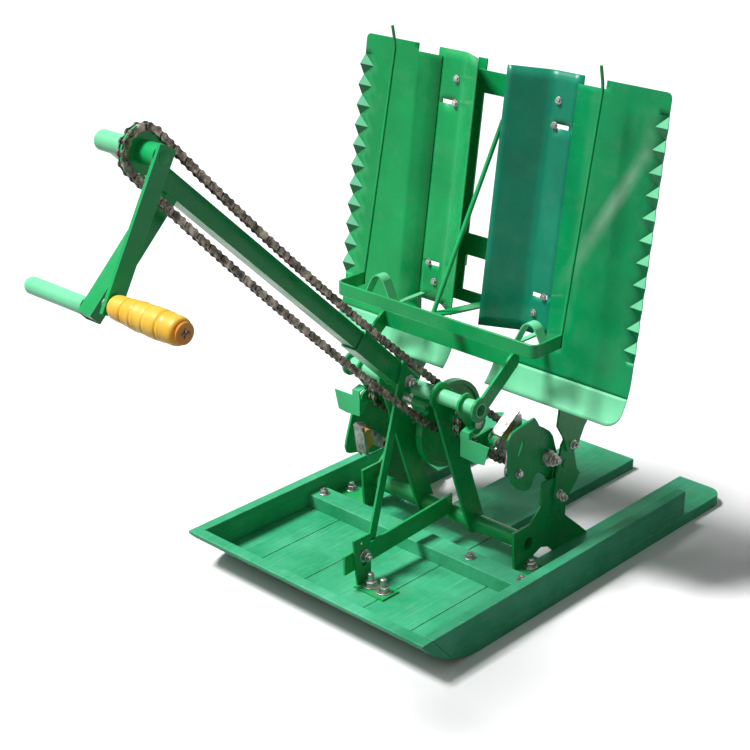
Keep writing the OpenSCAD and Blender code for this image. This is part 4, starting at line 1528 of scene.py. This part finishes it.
@dataclass(frozen=True)
class Studio:
    """Camera, lamps, world and the pale floor. Places are in metres."""

    eye: Triple = (1.4875, -1.7463, 1.2596)
    look: Triple = (-0.6293, 0.6695, -0.3947)
    lens: float = 82.4
    film: float = 36.0
    nearest: float = 0.05
    sun_from: Triple = (-0.40, -0.38, 0.92)
    sun: float = 4.3
    sun_width: float = 0.26
    box_from: Triple = (-1.2, -2.4, 2.6)
    box: float = 16.0
    box_side: float = 1.4
    middle: Triple = (0, -0.1, 0.35)
    sky: float = 0.17
    bounce: float = 0.15
    pale: float = 0.93
    matt: float = 0.85
    reach: float = 6.0

    def camera(self) -> None:
        """Place the camera."""
        data = bpy.data.cameras.new("camera")
        data.lens = self.lens
        data.sensor_width = self.film
        data.clip_start = self.nearest
        cam = bpy.data.objects.new("camera", data)
        bpy.context.scene.collection.objects.link(cam)
        cam.location = self.eye
        cam.rotation_euler = Vector(self.look).to_track_quat("-Z", "Y").to_euler()
        bpy.context.scene.camera = cam

    def world(self) -> None:
        """Give a soft sky that the camera, gloss and glass see as white."""
        world = bpy.data.worlds.new("studio")
        bpy.context.scene.world = world
        world.use_nodes = True
        tree = world.node_tree
        back = tree.nodes["Background"]
        path = tree.nodes.new("ShaderNodeLightPath")
        seen = path.outputs["Is Camera Ray"]
        for ray in ("Is Glossy Ray", "Is Transmission Ray"):
            either = tree.nodes.new("ShaderNodeMath")
            either.operation = "MAXIMUM"
            tree.links.new(seen, either.inputs[0])
            tree.links.new(path.outputs[ray], either.inputs[1])
            seen = either.outputs[0]
        level = tree.nodes.new("ShaderNodeMapRange")
        level.inputs[3].default_value = self.sky
        level.inputs[4].default_value = 1.0
        tree.links.new(seen, level.inputs[0])
        tree.links.new(level.outputs[0], back.inputs["Strength"])
        back.inputs["Color"].default_value = (1, 1, 1, 1)

    def lamp(self, name: str, kind: str, start: Triple, energy: float, size: float) -> None:
        """Add a lamp that looks at the machine's middle.

        Args:
            name: name of the lamp.
            kind: SUN or AREA.
            start: place of the lamp, or its direction from the middle for a sun.
            energy: strength.
            size: side of an area lamp in metres, or width of a sun in radians.
        """
        data = bpy.data.lights.new(name, kind)
        data.energy = energy
        if kind == "SUN":
            data.angle = size
        else:
            data.size = size
        lamp = bpy.data.objects.new(name, data)
        bpy.context.scene.collection.objects.link(lamp)
        lamp.location = start
        aim = Vector(self.middle) - Vector(start) if kind == "AREA" else -Vector(start)
        lamp.rotation_euler = aim.to_track_quat("-Z", "Y").to_euler()

    def build(self) -> None:
        """Build the camera, the world, the floor and the lamps."""
        self.camera()
        self.world()
        bpy.context.scene.view_settings.view_transform = "Standard"
        mesh = bpy.data.meshes.new("floor")
        corners = [(x * self.reach, y * self.reach, 0) for x, y in ((-1, -1), (1, -1), (1, 1), (-1, 1))]
        mesh.from_pydata(corners, [], [(0, 1, 2, 3)])
        floor = bpy.data.objects.new("floor", mesh)
        bpy.context.scene.collection.objects.link(floor)
        g = Graph("floor")
        rays = g.node("ShaderNodeLightPath", {}).outputs
        seen = g.sum("MAXIMUM", rays["Is Camera Ray"],
                     g.sum("MAXIMUM", rays["Is Glossy Ray"], rays["Is Transmission Ray"]))
        tone = g.blend(seen, (self.bounce,) * 3, (self.pale,) * 3)
        mesh.materials.append(g.finish({"Base Color": tone, "Roughness": self.matt}))
        self.lamp("sun", "SUN", self.sun_from, self.sun, self.sun_width)
        self.lamp("soft box", "AREA", self.box_from, self.box, self.box_side)


def chains() -> list[RollerChain]:
    """Work out the three loops of chain from the joints they run between.

    A loop starts at one joint, is as long as the way to the next, and falls by
    the slope of that way.

    Returns:
        The boom's chain, then the left and the right side chain.
    """
    head, drive, plant = (JOINT[n][1:] for n in ("crank_spin", "drive_shaft_spin", "planting_shaft_spin"))
    runs = []
    for run in (drive - head, plant - drive):
        runs.append((float(np.linalg.norm(run)), math.degrees(math.atan2(-run[1], run[0]))))
    loops = [RollerChain("boom_chain", "drive_chain", 25.0, head, *runs[0], teeth=14, sag=10.0)]
    for name, x in (("side_chain_left", -81.0), ("side_chain_right", 81.0)):
        loops.append(RollerChain(name, "side_chains", x, drive, *runs[1], teeth=12))
    return loops


class Work(Protocol):
    """Anything that main can build."""

    def build(self) -> None:
        """Build its pieces and dress them."""


def main() -> None:
    """Build the studio and every sub-assembly in order."""
    logging.basicConfig(level=logging.INFO)
    works: list[Work] = [Studio(), PlateWork(), *chains(), HandCrank(), BoomHead(), OuterSheet(-1),
                         OuterSheet(1), Divider(-1), Divider(1), MatHolder(), Fasteners()]
    for work in works:
        work.build()
        LOG.info("built %s", type(work).__name__)


if __name__ == "__main__":
    main()
